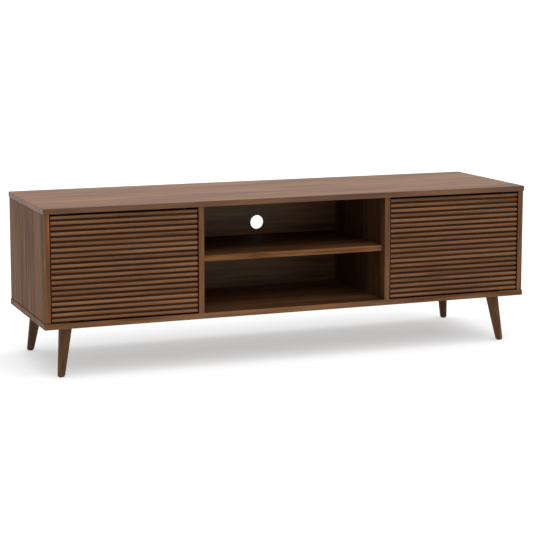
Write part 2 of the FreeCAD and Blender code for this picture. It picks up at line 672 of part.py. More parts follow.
# A shelf screw: z = 0 is the outer face of the divider, and the thread runs towards -Z
shelf_screw = turned("shelf_screw_pattern", [
    ("0", "-shelf_screw_length"),
    ("shelf_screw_thread / 2", "shelf_screw_thread / 2 - shelf_screw_length"),
    ("shelf_screw_thread / 2", "-board_thickness"),
    ("shelf_screw_shank / 2", "-board_thickness"),
    ("shelf_screw_shank / 2", "-shelf_screw_head_height"),
    ("shelf_screw_head / 2", "-shelf_screw_head_height"),
    ("shelf_screw_head / 2", "0"),
    ("0", "0"),
])
cut(shelf_screw, "shelf_screw_recess", "-Z", "0", "2 * recess_depth",
    outlines=[cross("0", "0", "recess_span", "recess_width")])
shelf_screw_places = []
for side, sign in SIDES:
    for along in (
        f"({UPRIGHT_FRONT} + shelf_setback + shelf_screw_offset)",
        f"({BACK_FACE} - shelf_screw_offset)",
    ):
        turn = TO_RIGHT if sign > 0 else TO_LEFT
        height = f"({SHELF_BASE} + board_thickness / 2)"
        shelf_screw_places.append((f"{sign} * {DIVIDER_OUTER}", along, height, turn))
copies("shelf_screws", shelf_screw, shelf_screw_places)

# A back panel screw: z = 0 is the rear face of the back panel, under the pan head
back_screw = turned("back_screw_pattern", [
    ("0", "-back_screw_length"),
    ("back_screw_diameter / 2", "back_screw_diameter - back_screw_length"),
    ("back_screw_diameter / 2", "0"),
    ("back_screw_head / 2", "0"),
    ("back_screw_head / 2", "back_screw_head_height"),
    ("0", "back_screw_head_height"),
])
cut(back_screw, "back_screw_recess", "-Z", "back_screw_head_height", "recess_depth",
    outlines=[cross("0", "0", "recess_span", "recess_width")])
back_screw_places = []
for across, height in BACK_SCREWS:
    back_screw_places.append((across, f"({BACK_FACE} + back_thickness)", height, TO_BACK))
copies("back_panel_screws", back_screw, back_screw_places)

# ---------------------------------------------------------------------------------------------
# Legs
# ---------------------------------------------------------------------------------------------
LEG_RISE = "(leg_height - glide_thickness)"
LEG_LENGTH = f"sqrt({LEG_RISE} * {LEG_RISE} + 2 * leg_splay * leg_splay)"
LEG_TAPER = f"((leg_top_diameter - leg_foot_diameter) / 2 / {LEG_LENGTH})"
LEG_SPARE = "(leg_top_diameter / 2)"
LEG_LEAN = f"atan(sqrt(2) * leg_splay / {LEG_RISE})"


def leg(name, side_x, side_y, top_y):
    """A tapered leg that leans outwards, cut level at the panel and at the floor."""
    label = f"{name}_leg"
    foot_x = f"({side_x} * {LEG_ACROSS} + {side_x} * leg_splay)"
    foot_y = f"({top_y} + {side_y} * leg_splay)"
    # The cone is longer than the leg at both ends, so that the level cuts go right through it
    share = f"{LEG_SPARE} / {LEG_LENGTH}"
    cone = primitive(
        "Cone", f"{label}_taper",
        f"{foot_x} + {side_x} * leg_splay * {share}",
        f"{foot_y} + {side_y} * leg_splay * {share}",
        f"glide_thickness - {LEG_RISE} * {share}",
        Radius1=f"leg_foot_diameter / 2 - {LEG_TAPER} * {LEG_SPARE}",
        Radius2=f"leg_top_diameter / 2 + {LEG_TAPER} * {LEG_SPARE}",
        turn=Rotation(Vector(side_y, -side_x, 0), now(LEG_LEAN)),
        Height=f"{LEG_LENGTH} + 2 * {LEG_SPARE}",
    )
    bind(cone, ".Placement.Rotation.Angle", LEG_LEAN)
    reach = "(leg_top_diameter + 2 * leg_splay)"
    slab = primitive(
        "Box", f"{label}_levels",
        f"{side_x} * {LEG_ACROSS} - {reach}", f"{top_y} - {reach}", "glide_thickness",
        Length=f"2 * {reach}", Width=f"2 * {reach}", Height=LEG_RISE,
    )
    levelled = doc.addObject("Part::Common", f"{label}_levelled")
    levelled.Base = cone
    levelled.Tool = slab
    bolt_hole = primitive(
        "Cylinder", f"{label}_bolt_hole", f"{side_x} * {LEG_ACROSS}", top_y,
        "leg_height - hanger_bolt_in_leg - hole_spare",
        Radius="hanger_bolt / 2", Height="hanger_bolt_in_leg + 2 * hole_spare",
    )
    nail_hole = primitive(
        "Cylinder", f"{label}_nail_hole", foot_x, foot_y, "glide_thickness - hole_spare",
        Radius="glide_nail / 2", Height="glide_nail_length + 2 * hole_spare",
    )
    holes = doc.addObject("Part::MultiFuse", f"{label}_holes")
    holes.Shapes = [bolt_hole, nail_hole]
    drilled = doc.addObject("Part::Cut", f"{label}_drilled")
    drilled.Base = levelled
    drilled.Tool = holes
    doc.recompute()
    rounded = doc.addObject("Part::Fillet", label)
    rounded.Base = drilled
    radius = now("foot_rounding")
    rim = max(
        (edge.Length, index) for index, edge in enumerate(drilled.Shape.Edges, start=1)
        if edge.BoundBox.ZMax < now("glide_thickness") + 1e-4
    )[1]
    rounded.Edges = [(rim, radius, radius)]
    return node(rounded, label)


# A glide: a disc with a bevelled lower rim and its nail, standing on z = 0
glide = turned("glide_pattern", [
    ("0", "0"),
    ("glide_diameter / 2 - glide_bevel", "0"),
    ("glide_diameter / 2", "glide_bevel"),
    ("glide_diameter / 2", "glide_thickness"),
    ("glide_nail / 2", "glide_thickness"),
    ("glide_nail / 2", "glide_thickness + glide_nail_length - glide_nail / 2"),
    ("0", "glide_thickness + glide_nail_length"),
])

# A hanger bolt: z = 0 is the top of the leg, with the wood thread below and the machine
# thread above
hanger_bolt = turned("hanger_bolt_pattern", [
    ("0", "-hanger_bolt_in_leg"),
    ("hanger_bolt / 2", "hanger_bolt / 2 - hanger_bolt_in_leg"),
    ("hanger_bolt / 2", "hanger_bolt_in_insert - thread_bevel"),
    ("hanger_bolt / 2 - thread_bevel", "hanger_bolt_in_insert"),
    ("0", "hanger_bolt_in_insert"),
])
threaded_insert = turned("insert_pattern", [
    ("hanger_bolt / 2", "0"),
    ("insert_diameter / 2", "0"),
    ("insert_diameter / 2", "insert_length - thread_bevel"),
    ("insert_diameter / 2 - thread_bevel", "insert_length"),
    ("hanger_bolt / 2", "insert_length"),
])

leg_tops = []
for name, side_x, side_y, top_y in LEGS:
    leg(name, side_x, side_y, top_y)
    foot_x = f"{side_x} * {LEG_ACROSS} + {side_x} * leg_splay"
    foot_y = f"{top_y} + {side_y} * leg_splay"
    copies(f"{name}_glide", glide, [(foot_x, foot_y, "0", UPRIGHT)])
    leg_tops.append((f"{side_x} * {LEG_ACROSS}", top_y, "leg_height", UPRIGHT))
copies("leg_hanger_bolts", hanger_bolt, leg_tops)
copies("leg_threaded_inserts", threaded_insert, leg_tops)

# ---------------------------------------------------------------------------------------------
# Doors, their pivots and their latches
# ---------------------------------------------------------------------------------------------
# A slat: its back is at y = 0 and its crest at y = -slat_depth
slat = new_body("slat_pattern")
slat_section = sketch_on(slat, "YZ_Plane", "slat_section")
draw_outline(slat_section, rectangle("-slat_depth", "0", "0", "slat_width"))
slat_pad = slat.newObject("PartDesign::Pad", "slat_length")
slat_pad.Profile = slat_section
bind(slat_pad, "Length", DOOR_WIDTH)
ease(slat, "slat_rounded", "slat_rounding", is_front_edge)

# A pivot plate: its middle is the pivot, its seat on the panel is z = 0, and it stands up in +Z
plate = new_body("pivot_plate_pattern")
plate_outline = sketch_on(plate, "XY_Plane", "pivot_plate_outline")
draw_outline(plate_outline, rectangle(
    "-plate_length / 2", "-plate_width / 2", "plate_length / 2", "plate_width / 2"))
plate_pad = plate.newObject("PartDesign::Pad", "pivot_plate_slab")
plate_pad.Profile = plate_outline
bind(plate_pad, "Length", "plate_thickness")
cut(plate, "pivot_plate_pin_hole", "+Z", "0", "plate_thickness",
    circles=[("0", "0", "pin_diameter")])
plate_holes = [(f"{step} * plate_screw_span / 2", "0", loose("wood_screw_diameter")) for step in (-1, 1)]
cut(plate, "pivot_plate_screw_holes", "+Z", "0", "plate_thickness", circles=plate_holes)
ease(plate, "pivot_plate_corners", "plate_corner", is_short_upright_edge)


def countersink(thing, label, spots, turn=UPRIGHT):
    """Sink cones for flat screw heads, each from its narrow end, widening along the turned Z."""
    tools = []
    for index, (x, y, z) in enumerate(spots, start=1):
        tools.append(primitive(
            "Cone", f"{label}_{index}", x, y, z, turn,
            Radius1="wood_screw_diameter / 2", Radius2="wood_screw_head / 2",
            Height="wood_screw_head_height",
        ))
    group = doc.addObject("Part::Compound", f"{label}_sinks")
    group.Links = tools
    result = doc.addObject("Part::Cut", label)
    result.Base = thing
    result.Tool = group
    return result


sunk_plate = countersink(plate, "pivot_plate_sunk", [
    (f"{step} * plate_screw_span / 2", "0", "plate_thickness - wood_screw_head_height")
    for step in (-1, 1)
])

# A pivot pin: z = 0 is the seat of its plate, and the bevelled tip stands in the door
PIN_LENGTHS = {"upper": "(door_top_gap + pin_reach)", "lower": "(door_bottom_gap + pin_reach)"}
pins = {}
for level, length in PIN_LENGTHS.items():
    pins[level] = turned(f"{level}_pin_pattern", [
        ("0", "0"),
        ("pin_diameter / 2", "0"),
        ("pin_diameter / 2", f"{length} - pin_bevel"),
        ("pin_diameter / 2 - pin_bevel", length),
        ("0", length),
    ])

# A bush: z = 0 is the edge of the door, and the blind bore opens there
bush = turned("bush_pattern", [
    ("pin_diameter / 2 + pin_slack", "0"),
    ("bush_diameter / 2", "0"),
    ("bush_diameter / 2", "-bush_length"),
    ("0", "-bush_length"),
    ("0", "-(pin_reach + hole_spare)"),
    ("pin_diameter / 2 + pin_slack", "-(pin_reach + hole_spare)"),
])

washer = turned("washer_pattern", [
    ("pin_diameter / 2 + hole_slack", "0"),
    ("washer_diameter / 2", "0"),
    ("washer_diameter / 2", "door_bottom_gap - plate_thickness - washer_slack"),
    ("pin_diameter / 2 + hole_slack", "door_bottom_gap - plate_thickness - washer_slack"),
])

# A flat-headed wood screw: its face is at z = 0
wood_screw = turned("wood_screw_pattern", [
    ("0", "-wood_screw_length"),
    ("wood_screw_diameter / 2", "wood_screw_diameter - wood_screw_length"),
    ("wood_screw_diameter / 2", "-wood_screw_head_height"),
    ("wood_screw_head / 2", "0"),
    ("0", "0"),
])
cut(wood_screw, "wood_screw_recess", "-Z", "0", "recess_depth",
    outlines=[cross("0", "0", "recess_span", "recess_width")])

# A striker: a disc whose seat on the door is z = 0
striker = turned("striker_disc", [
    ("wood_screw_diameter / 2 + hole_slack", "0"),
    ("striker_diameter / 2", "0"),
    ("striker_diameter / 2", "striker_thickness"),
    ("wood_screw_diameter / 2 + hole_slack", "striker_thickness"),
])
sunk_striker = countersink(striker, "striker_sunk", [
    ("0", "0", "striker_thickness - wood_screw_head_height"),
])

# A latch housing: z is along the plunger from the front face, x is across, and +Y is down
housing = new_body("latch_housing_pattern")
housing_outline = sketch_on(housing, "XY_Plane", "latch_housing_outline")
draw_outline(housing_outline, rectangle(
    "-latch_width / 2", "-latch_drop", "latch_width / 2", "latch_height - latch_drop"))
housing_pad = housing.newObject("PartDesign::Pad", "latch_housing_block")
housing_pad.Profile = housing_outline
bind(housing_pad, "Length", "latch_length")
ease(housing, "latch_housing_eased", "edge_easing", is_back_edge)
flange_outline = sketch_on(housing, "XZ_Plane", "latch_flange_outline", "latch_drop")
draw_outline(flange_outline, rectangle(
    "-flange_width / 2", "(latch_length - flange_length) / 2",
    "flange_width / 2", "(latch_length + flange_length) / 2"))
flange_pad = housing.newObject("PartDesign::Pad", "latch_flange")
flange_pad.Profile = flange_outline
flange_pad.Reversed = True
bind(flange_pad, "Length", "flange_thickness")
cut(housing, "latch_housing_bore", "+Z", "0", BORE_LENGTH,
    circles=[("0", "0", "plunger_diameter + 2 * plunger_slack")])
flange_holes = []
for step in (-1, 1):
    across = f"{step} * flange_screw_span / 2"
    flange_holes.append((across, "latch_length / 2", loose("wood_screw_diameter")))
cut(housing, "latch_flange_holes", "+Y", "-latch_drop", "flange_thickness", circles=flange_holes)
sunk_housing = countersink(housing, "latch_housing_sunk", [
    (f"{step} * flange_screw_span / 2", "flange_thickness - latch_drop - wood_screw_head_height",
     "latch_length / 2")
    for step in (-1, 1)
], TO_BACK)

# A plunger: z = 0 is the face of its head, with the magnet's seat in it
plunger = turned("plunger_pattern", [
    ("magnet_diameter / 2 + hole_slack", "0"),
    ("tip_diameter / 2 - edge_easing", "0"),
    ("tip_diameter / 2", "edge_easing"),
    ("tip_diameter / 2", "tip_length"),
    ("plunger_diameter / 2", "tip_length"),
    ("plunger_diameter / 2", "tip_length + plunger_travel + travel_spare + plunger_in_housing"),
    ("0", "tip_length + plunger_travel + travel_spare + plunger_in_housing"),
    ("0", "magnet_thickness"),
    ("magnet_diameter / 2 + hole_slack", "magnet_thickness"),
])
magnet = turned("magnet_pattern", [
    ("0", "0"), ("magnet_diameter / 2", "0"),
    ("magnet_diameter / 2", "magnet_thickness"), ("0", "magnet_thickness"),
])

# A latch spring: a round wire along a helix, between the plunger's end and the housing's wall
SPRING_LENGTH = f"({BORE_LENGTH} - plunger_in_housing)"
spring_path = doc.addObject("Part::Helix", "spring_path")
bind(spring_path, "Pitch", f"({SPRING_LENGTH} - spring_wire) / spring_turns")
bind(spring_path, "Height", f"{SPRING_LENGTH} - spring_wire")
bind(spring_path, "Radius", "spring_diameter / 2")
spring_wire = doc.addObject("Part::Circle", "spring_wire")
bind(spring_wire, "Radius", "spring_wire / 2")
place(spring_wire, "spring_diameter / 2", "0", "0", TO_FRONT)
spring = doc.addObject("Part::Sweep", "spring_pattern")
spring.Sections = [spring_wire]
spring.Spine = (spring_path, [])
spring.Solid = True
spring.Frenet = True

plate_screw_places = []
latch_screw_places = []
washer_places = []
for side, sign in SIDES:
    pivot_x = f"{sign} * {PIVOT_ACROSS}"
    latch_x = f"{sign} * {LATCH_ACROSS}"
    door_left = f"(-{DOOR_OUTER})" if sign < 0 else DOOR_FREE

    label = f"{side}_door_panel"
    core = board(label, DOOR_WIDTH, "door_core", DOOR_HEIGHT, door_left, CORE_FRONT, DOOR_BASE)
    bush_hole = [(f"({pivot_x} - {door_left})", "door_core / 2", "bush_diameter")]
    cut(core, f"{label}_lower_bush_hole", "+Z", "0", "bush_length", circles=bush_hole)
    cut(core, f"{label}_upper_bush_hole", "-Z", DOOR_HEIGHT, "bush_length", circles=bush_hole)
    striker_hole = [(f"({latch_x} - {door_left})", f"({LATCH_AXIS} - {DOOR_BASE})",
                     "wood_screw_diameter")]
    striker_bite = "wood_screw_length - striker_thickness + hole_spare"
    cut(core, f"{label}_striker_hole", "-Y", "door_core", striker_bite, circles=striker_hole)
    ease(core, f"{label}_eased", "edge_easing", is_back_edge)

    slat_places = []
    for index in range(int(now("slat_count"))):
        rise = f"{index} * ({DOOR_HEIGHT} - slat_width) / (slat_count - 1)"
        slat_places.append((door_left, CORE_FRONT, f"{DOOR_BASE} + {rise}", UPRIGHT))
    copies(f"{side}_door_slats", slat, slat_places)

    for level, panel_face, door_edge, turn, bush_turn in (
        ("upper", BAY_CEILING, f"({DOOR_BASE} + {DOOR_HEIGHT})", DOWNWARD, UPRIGHT),
        ("lower", BAY_FLOOR, DOOR_BASE, UPRIGHT, DOWNWARD),
    ):
        copies(f"{side}_{level}_pivot_plate", sunk_plate, [(pivot_x, PIVOT_BACK, panel_face, turn)])
        copies(f"{side}_{level}_pivot_pin", pins[level], [(pivot_x, PIVOT_BACK, panel_face, turn)])
        copies(f"{side}_{level}_bush", bush, [(pivot_x, PIVOT_BACK, door_edge, bush_turn)])
        down = -1 if level == "upper" else 1
        free_face = f"({panel_face} + {down} * plate_thickness)"
        for step in (-1, 1):
            screw_x = f"({pivot_x} + {step} * plate_screw_span / 2)"
            plate_screw_places.append((screw_x, PIVOT_BACK, free_face, turn))
    washer_places.append((pivot_x, PIVOT_BACK, f"({BAY_FLOOR} + plate_thickness)", UPRIGHT))

    copies(f"{side}_striker", sunk_striker, [(latch_x, DOOR_BACK, LATCH_AXIS, TO_BACK)])
    striker_face = f"({DOOR_BACK} + striker_thickness)"
    copies(f"{side}_striker_screw", wood_screw, [(latch_x, striker_face, LATCH_AXIS, TO_BACK)])
    for step in (-1, 1):
        screw_x = f"({latch_x} + {step} * flange_screw_span / 2)"
        screw_z = f"({BAY_CEILING} - flange_thickness)"
        latch_screw_places.append((screw_x, FLANGE_MIDDLE, screw_z, DOWNWARD))

    copies(f"{side}_latch_housing", sunk_housing, [(latch_x, HOUSING_FRONT, LATCH_AXIS, TO_BACK)])
    copies(f"{side}_latch_plunger", plunger, [(latch_x, TIP_FRONT, LATCH_AXIS, TO_BACK)])
    copies(f"{side}_latch_magnet", magnet, [(latch_x, TIP_FRONT, LATCH_AXIS, TO_BACK)])
    spring_start = f"({HOUSING_FRONT} + plunger_in_housing + spring_wire / 2)"
    copies(f"{side}_latch_spring", spring, [(latch_x, spring_start, LATCH_AXIS, TO_BACK)])

copies("pivot_plate_screws", wood_screw, plate_screw_places)
copies("latch_screws", wood_screw, latch_screw_places)
copies("pivot_washers", washer, washer_places)

# ---------------------------------------------------------------------------------------------
# Check everything, then write one file for each piece
# ---------------------------------------------------------------------------------------------
doc.recompute()
for thing in doc.Objects:
    if "Invalid" in thing.State or "Error" in thing.State:
        raise RuntimeError(f"{thing.Label} failed: {thing.State}")
for thing in nodes:
    if thing.Shape.isNull() or not thing.Shape.isValid() or not thing.Shape.Solids:
        raise RuntimeError(f"{thing.Label} has no valid solid")

os.makedirs("parts", exist_ok=True)
for thing in nodes:
    thing.Shape.exportStep(f"parts/{thing.Label}.step")
print(f"{len(nodes)} pieces written")
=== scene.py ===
# %% [markdown]
# # A low media stand in walnut laminate
# The stand is a long box on four splayed legs, with a ribbed door at each end and an open bay
# with one shelf between them. Its pieces come ready made, each in its true place, as the frame.
# What this script adds is what the eye sees first: the rounded slats, the turned legs, the
# grain of every board, the metal and plastic of the fittings, and a white studio around it all.
# It also coils the two small springs in the latches, which have to shorten when they are pressed.

# %% Open the frame and measure it
import math

import bmesh
import bpy
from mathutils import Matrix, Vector


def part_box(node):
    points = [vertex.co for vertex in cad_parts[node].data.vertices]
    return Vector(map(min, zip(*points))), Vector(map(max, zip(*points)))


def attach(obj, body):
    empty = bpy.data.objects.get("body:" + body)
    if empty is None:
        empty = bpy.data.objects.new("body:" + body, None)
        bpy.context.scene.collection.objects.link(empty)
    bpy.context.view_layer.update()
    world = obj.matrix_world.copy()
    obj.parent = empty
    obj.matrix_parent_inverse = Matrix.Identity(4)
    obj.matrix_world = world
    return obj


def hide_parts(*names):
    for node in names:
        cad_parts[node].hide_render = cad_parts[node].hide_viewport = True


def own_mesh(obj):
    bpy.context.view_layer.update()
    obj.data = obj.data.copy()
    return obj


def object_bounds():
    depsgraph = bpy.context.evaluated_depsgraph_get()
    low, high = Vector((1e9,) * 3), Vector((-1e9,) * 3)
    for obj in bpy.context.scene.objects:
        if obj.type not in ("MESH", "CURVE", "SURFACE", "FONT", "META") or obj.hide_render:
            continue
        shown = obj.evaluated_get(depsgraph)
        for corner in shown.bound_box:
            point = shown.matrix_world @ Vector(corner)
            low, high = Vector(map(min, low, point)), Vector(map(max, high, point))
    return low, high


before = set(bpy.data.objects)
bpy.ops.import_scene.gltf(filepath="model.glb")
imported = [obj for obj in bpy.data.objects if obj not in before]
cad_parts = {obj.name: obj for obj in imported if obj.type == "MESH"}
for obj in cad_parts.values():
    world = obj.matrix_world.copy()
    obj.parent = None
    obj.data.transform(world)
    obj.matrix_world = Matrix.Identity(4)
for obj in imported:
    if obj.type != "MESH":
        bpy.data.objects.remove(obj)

frame_box = [list(corner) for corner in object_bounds()]
stand_low, stand_high = (Vector(corner) for corner in frame_box)
print("stand measures", [round(side, 4) for side in stand_high - stand_low])

# %% [markdown]
# ## The camera
# A long lens from the left and slightly above keeps the long edges almost parallel. The camera
# is given its place and two angles, how far it is turned to the right and how far it looks
# down, because those two are easy to change on their own. A tracking constraint would also aim
# it, but then the tilt would have to be found through the place of a target. A small shift of
# the lens keeps the uprights of the stand from leaning. The camera has to see to the far end of
# the floor, so its clipping distance is as long as the floor.

# %% Place the camera
CAMERA_PLACE = Vector((-1.685, -4.313, 1.007))
CAMERA_TURN = 0.3703
CAMERA_TILT = 0.1346
LENS_LENGTH = 112.1
LENS_DROP = -0.10
FLOOR_SPAN = 400.0

bpy.ops.object.camera_add(
    location=CAMERA_PLACE,
    rotation=(math.pi / 2 - CAMERA_TILT, 0, -CAMERA_TURN),
)
camera = bpy.context.object
camera.name = "studio_camera"
camera.data.lens = LENS_LENGTH
camera.data.shift_y = LENS_DROP
camera.data.clip_end = FLOOR_SPAN
bpy.context.scene.camera = camera
print("camera is", round(CAMERA_PLACE.length, 3), "m from the origin")

# %% [markdown]
# ## The floor
# Such furniture is shown on a table of milky plastic that is lit from below. A plain white floor
# under a strong lamp would get a dark shadow under the stand. This floor is a matt plane that
# also glows a little, as the milky table does, and so the shadow stays pale.

# %% Lay the floor
FLOOR_COLOUR = (0.392, 0.40, 0.407, 1)
FLOOR_GLOW = 0.45

bpy.ops.object.select_all(action="DESELECT")
bpy.ops.mesh.primitive_plane_add(size=FLOOR_SPAN, location=(0, 0, 0))
floor = bpy.context.object
floor.name = "studio_floor"

floor_finish = bpy.data.materials.new("white_floor")
floor_finish.use_nodes = True
floor_shader = floor_finish.node_tree.nodes["Principled BSDF"]
floor_shader.inputs["Base Color"].default_value = FLOOR_COLOUR
floor_shader.inputs["Roughness"].default_value = 1.0
floor_shader.inputs["Specular IOR Level"].default_value = 0.0
floor_shader.inputs["Emission Color"].default_value = (1, 1, 1, 1)
floor_shader.inputs["Emission Strength"].default_value = FLOOR_GLOW
floor.data.materials.append(floor_finish)
print("floor spans", FLOOR_SPAN, "m")

# %% [markdown]
# ## The lights
# The world gives the even part of the light. The lamp is a sun with a very wide disc, tilted a
# little to the front: it lights the tops most and the fronts less, and its shadow has no edge.
# An area lamp would fade towards the far floor, which has to stay white.

# %% Hang the lights
ROOM_LIGHT = 0.80
LAMP_STRENGTH = 3.75
LAMP_HEIGHT = 3
LAMP_TILT = math.radians(15)
LAMP_LEAN = math.radians(8)
LAMP_DISC = math.radians(86)

world = bpy.data.worlds.new("studio_world")
bpy.context.scene.world = world
world.use_nodes = True
world.node_tree.nodes["Background"].inputs["Color"].default_value = (1, 1, 1, 1)
world.node_tree.nodes["Background"].inputs["Strength"].default_value = ROOM_LIGHT

bpy.ops.object.light_add(
    type="SUN", location=(0, 0, LAMP_HEIGHT), rotation=(LAMP_TILT, LAMP_LEAN, 0),
)
lamp = bpy.context.object
lamp.name = "overhead_light"
lamp.data.energy = LAMP_STRENGTH
lamp.data.angle = LAMP_DISC
bpy.context.scene.view_settings.view_transform = "Standard"
beam = lamp.matrix_world.to_quaternion() @ Vector((0, 0, -1))
print("lamp shines along", [round(axis, 2) for axis in beam])

# %% [markdown]
# ## Tools for shader node groups
# Grain and edge wear appear in many finishes, so each is a node group, built once and placed in
# every material with its own values. These helpers open a group with named sockets, add a node
# with its settings in one call, and add the usual steps of arithmetic and noise. Written out in
# full, each of those would take three or four lines, and the groups would be long to read.
# Noise seldom leaves the middle of its scale, so that range is often stretched to a full one.

# %% Open groups and add nodes
def open_group(name, takes, gives):
    """A new shader group with named sockets, and its input and output nodes."""
    group = bpy.data.node_groups.new(name, "ShaderNodeTree")
    for label, kind, value in takes:
        socket = group.interface.new_socket(label, in_out="INPUT", socket_type=f"NodeSocket{kind}")
        if value is not None:
            socket.default_value = value
    for label, kind in gives:
        group.interface.new_socket(label, in_out="OUTPUT", socket_type=f"NodeSocket{kind}")
    return group, group.nodes.new("NodeGroupInput"), group.nodes.new("NodeGroupOutput")


def set_input(tree, slot, value):
    """Link a value that is a socket; anything else becomes the input's own value."""
    if isinstance(value, bpy.types.NodeSocket):
        tree.links.new(value, slot)
    else:
        slot.default_value = value


def add_node(tree, kind, settings=None, **values):
    """Add a node: settings are its own fields, and values go to its inputs.

    An input is told by its name, or by i and its number where names repeat.
    """
    node = tree.nodes.new(f"ShaderNode{kind}")
    for field, setting in (settings or {}).items():
        setattr(node, field, setting)
    for label, value in values.items():
        by_number = label[0] == "i" and label[1:].isdigit()
        set_input(tree, node.inputs[int(label[1:]) if by_number else label], value)
    return node


def calculate(tree, operation, first, second=0.0, third=0.0):
    """One step of arithmetic on sockets or numbers; the result is a socket."""
    steps = {"i0": first, "i1": second, "i2": third}
    return add_node(tree, "Math", {"operation": operation}, **steps).outputs[0]


def spread(tree, value, low, high, new_low=0.0, new_high=1.0):
    """Stretch the part of a value between low and high over a new range, and clip the rest."""
    limits = {
        "Value": value, "From Min": low, "From Max": high, "To Min": new_low, "To Max": new_high,
    }
    return add_node(tree, "MapRange", **limits).outputs["Result"]


NOISE_RANGE = (0.3, 0.7)


def stretched_noise(tree, vector, stretch, detail, roughness=0.5):
    """Noise drawn out along X: stretch holds its cells per metre along each axis."""
    scaled = add_node(tree, "VectorMath", {"operation": "MULTIPLY"}, i0=vector, i1=stretch)
    return add_node(
        tree, "TexNoise",
        Vector=scaled.outputs[0], Scale=1.0, Detail=detail, Roughness=roughness,
    ).outputs[0]


print("node helpers ready")

# %% [markdown]
# ## Wood grain
# Walnut print has four scales: broad bands a few centimetres wide that run almost the whole
# board, streaks of a centimetre and fibres of a millimetre or two inside them, and short dark
# pores. A wave texture alone gives stripes that are too even, and an image would blur close
# up. Noise that is drawn out along the grain gives all four, and one more, very slow noise
# turns the brown a little redder from place to place, as in planks of different trees. Cells
# are counted per metre, few along the grain and many across it.

# %% Draw the grain's noises
DRIFT_CELLS = (1.5, 6.0, 6.0)
DRIFT_REACH = (0.0, 0.05, 0.05)
BAND_CELLS = (1.5, 17.0, 17.0)
STREAK_CELLS = (3.4, 62.0, 62.0)
FIBRE_CELLS = (6.0, 190.0, 190.0)
PORE_CELLS = (55.0, 1300.0, 1300.0)
HUE_CELLS = (0.7, 11.0, 11.0)

grain_group, grain_in, grain_out = open_group(
    "wood_grain",
    [
        ("Vector", "Vector", None),
        ("Light", "Color", (0.10, 0.05, 0.026, 1)),
        ("Dark", "Color", (0.05, 0.022, 0.011, 1)),
        ("Tint", "Color", (0.11, 0.042, 0.022, 1)),
        ("Contrast", "Float", 1.0),
    ],
    [("Color", "Color"), ("Fibre", "Float"), ("Height", "Float")],
)
where = grain_in.outputs["Vector"]
drift = stretched_noise(grain_group, where, DRIFT_CELLS, detail=2.0)
warped = add_node(
    grain_group, "VectorMath", {"operation": "MULTIPLY_ADD"},
    i0=drift, i1=DRIFT_REACH, i2=where,
).outputs[0]
bands = stretched_noise(grain_group, warped, BAND_CELLS, detail=2.0)
streaks = stretched_noise(grain_group, warped, STREAK_CELLS, detail=2.0)
fibres = stretched_noise(grain_group, warped, FIBRE_CELLS, detail=3.0, roughness=0.6)
pores = stretched_noise(grain_group, warped, PORE_CELLS, detail=1.0)
hue = stretched_noise(grain_group, warped, HUE_CELLS, detail=1.0)
print("wood_grain has", len(grain_group.nodes), "nodes of noise")

# %% [markdown]
# ## Wood colours
# The bands, streaks and fibres add up to one figure, each with its share, and the figure mixes a
# dark brown and a lighter one. A colour ramp would do the same, but its stops can't be sockets,
# and here each board brings its own colours. Contrast pulls the figure away from its middle.
# The pores are laid over it, half as dark as they could be, and the fibres also give the relief.

# %% Mix the grain's colours
BAND_SHARE = 0.32
STREAK_SHARE = 0.43
FIBRE_SHARE = 0.25
FIGURE_RANGE = (0.32, 0.68)
PORE_RANGE = (0.60, 0.70)
PORE_DARKNESS = 0.5
RED_RANGE = (0.45, 0.70)
REDDEST = 0.7

clear_bands = spread(grain_group, bands, *FIGURE_RANGE)
figure = calculate(grain_group, "MULTIPLY", clear_bands, BAND_SHARE)
for part, part_share in ((streaks, STREAK_SHARE), (fibres, FIBRE_SHARE)):
    clear_part = spread(grain_group, part, *FIGURE_RANGE)
    figure = calculate(grain_group, "MULTIPLY_ADD", clear_part, part_share, figure)
streaked = spread(grain_group, fibres, *NOISE_RANGE)
centred = calculate(grain_group, "SUBTRACT", figure, 0.5)
share = calculate(grain_group, "MULTIPLY_ADD", centred, grain_in.outputs["Contrast"], 0.5)
share = add_node(grain_group, "Clamp", Value=share).outputs[0]
pore_mask = spread(grain_group, pores, *PORE_RANGE)
tinted = add_node(
    grain_group, "Mix", {"data_type": "RGBA"},
    i0=spread(grain_group, hue, *RED_RANGE, 0.0, REDDEST),
    i6=grain_in.outputs["Light"], i7=grain_in.outputs["Tint"],
).outputs[2]
wood_colour = add_node(
    grain_group, "Mix", {"data_type": "RGBA"},
    i0=share, i6=grain_in.outputs["Dark"], i7=tinted,
).outputs[2]
pored = add_node(
    grain_group, "Mix", {"data_type": "RGBA"},
    i0=calculate(grain_group, "MULTIPLY", pore_mask, PORE_DARKNESS),
    i6=wood_colour, i7=grain_in.outputs["Dark"],
).outputs[2]
relief = calculate(grain_group, "SUBTRACT", streaked, pore_mask)
grain_group.links.new(pored, grain_out.inputs["Color"])
grain_group.links.new(streaked, grain_out.inputs["Fibre"])
grain_group.links.new(relief, grain_out.inputs["Height"])
print("wood_grain has", len(grain_group.nodes), "nodes in all")

# %% [markdown]
# ## Edge wear
# Handling polishes and lightens a board first along its edges. A curvature input would find
# them, but it depends on how finely the mesh is cut, so this group works from the board's own
# two corners instead. On the surface of a box one of the three distances to its sides is zero,
# and near an edge a second one is small too: the middle one of the three is the distance to
# the nearest edge. Noise breaks the line up.

# %% Build the edge group
WEAR_CELLS = (60.0, 60.0, 60.0)
LEAST_WEAR = 0.3
MOST_WEAR = 1.7

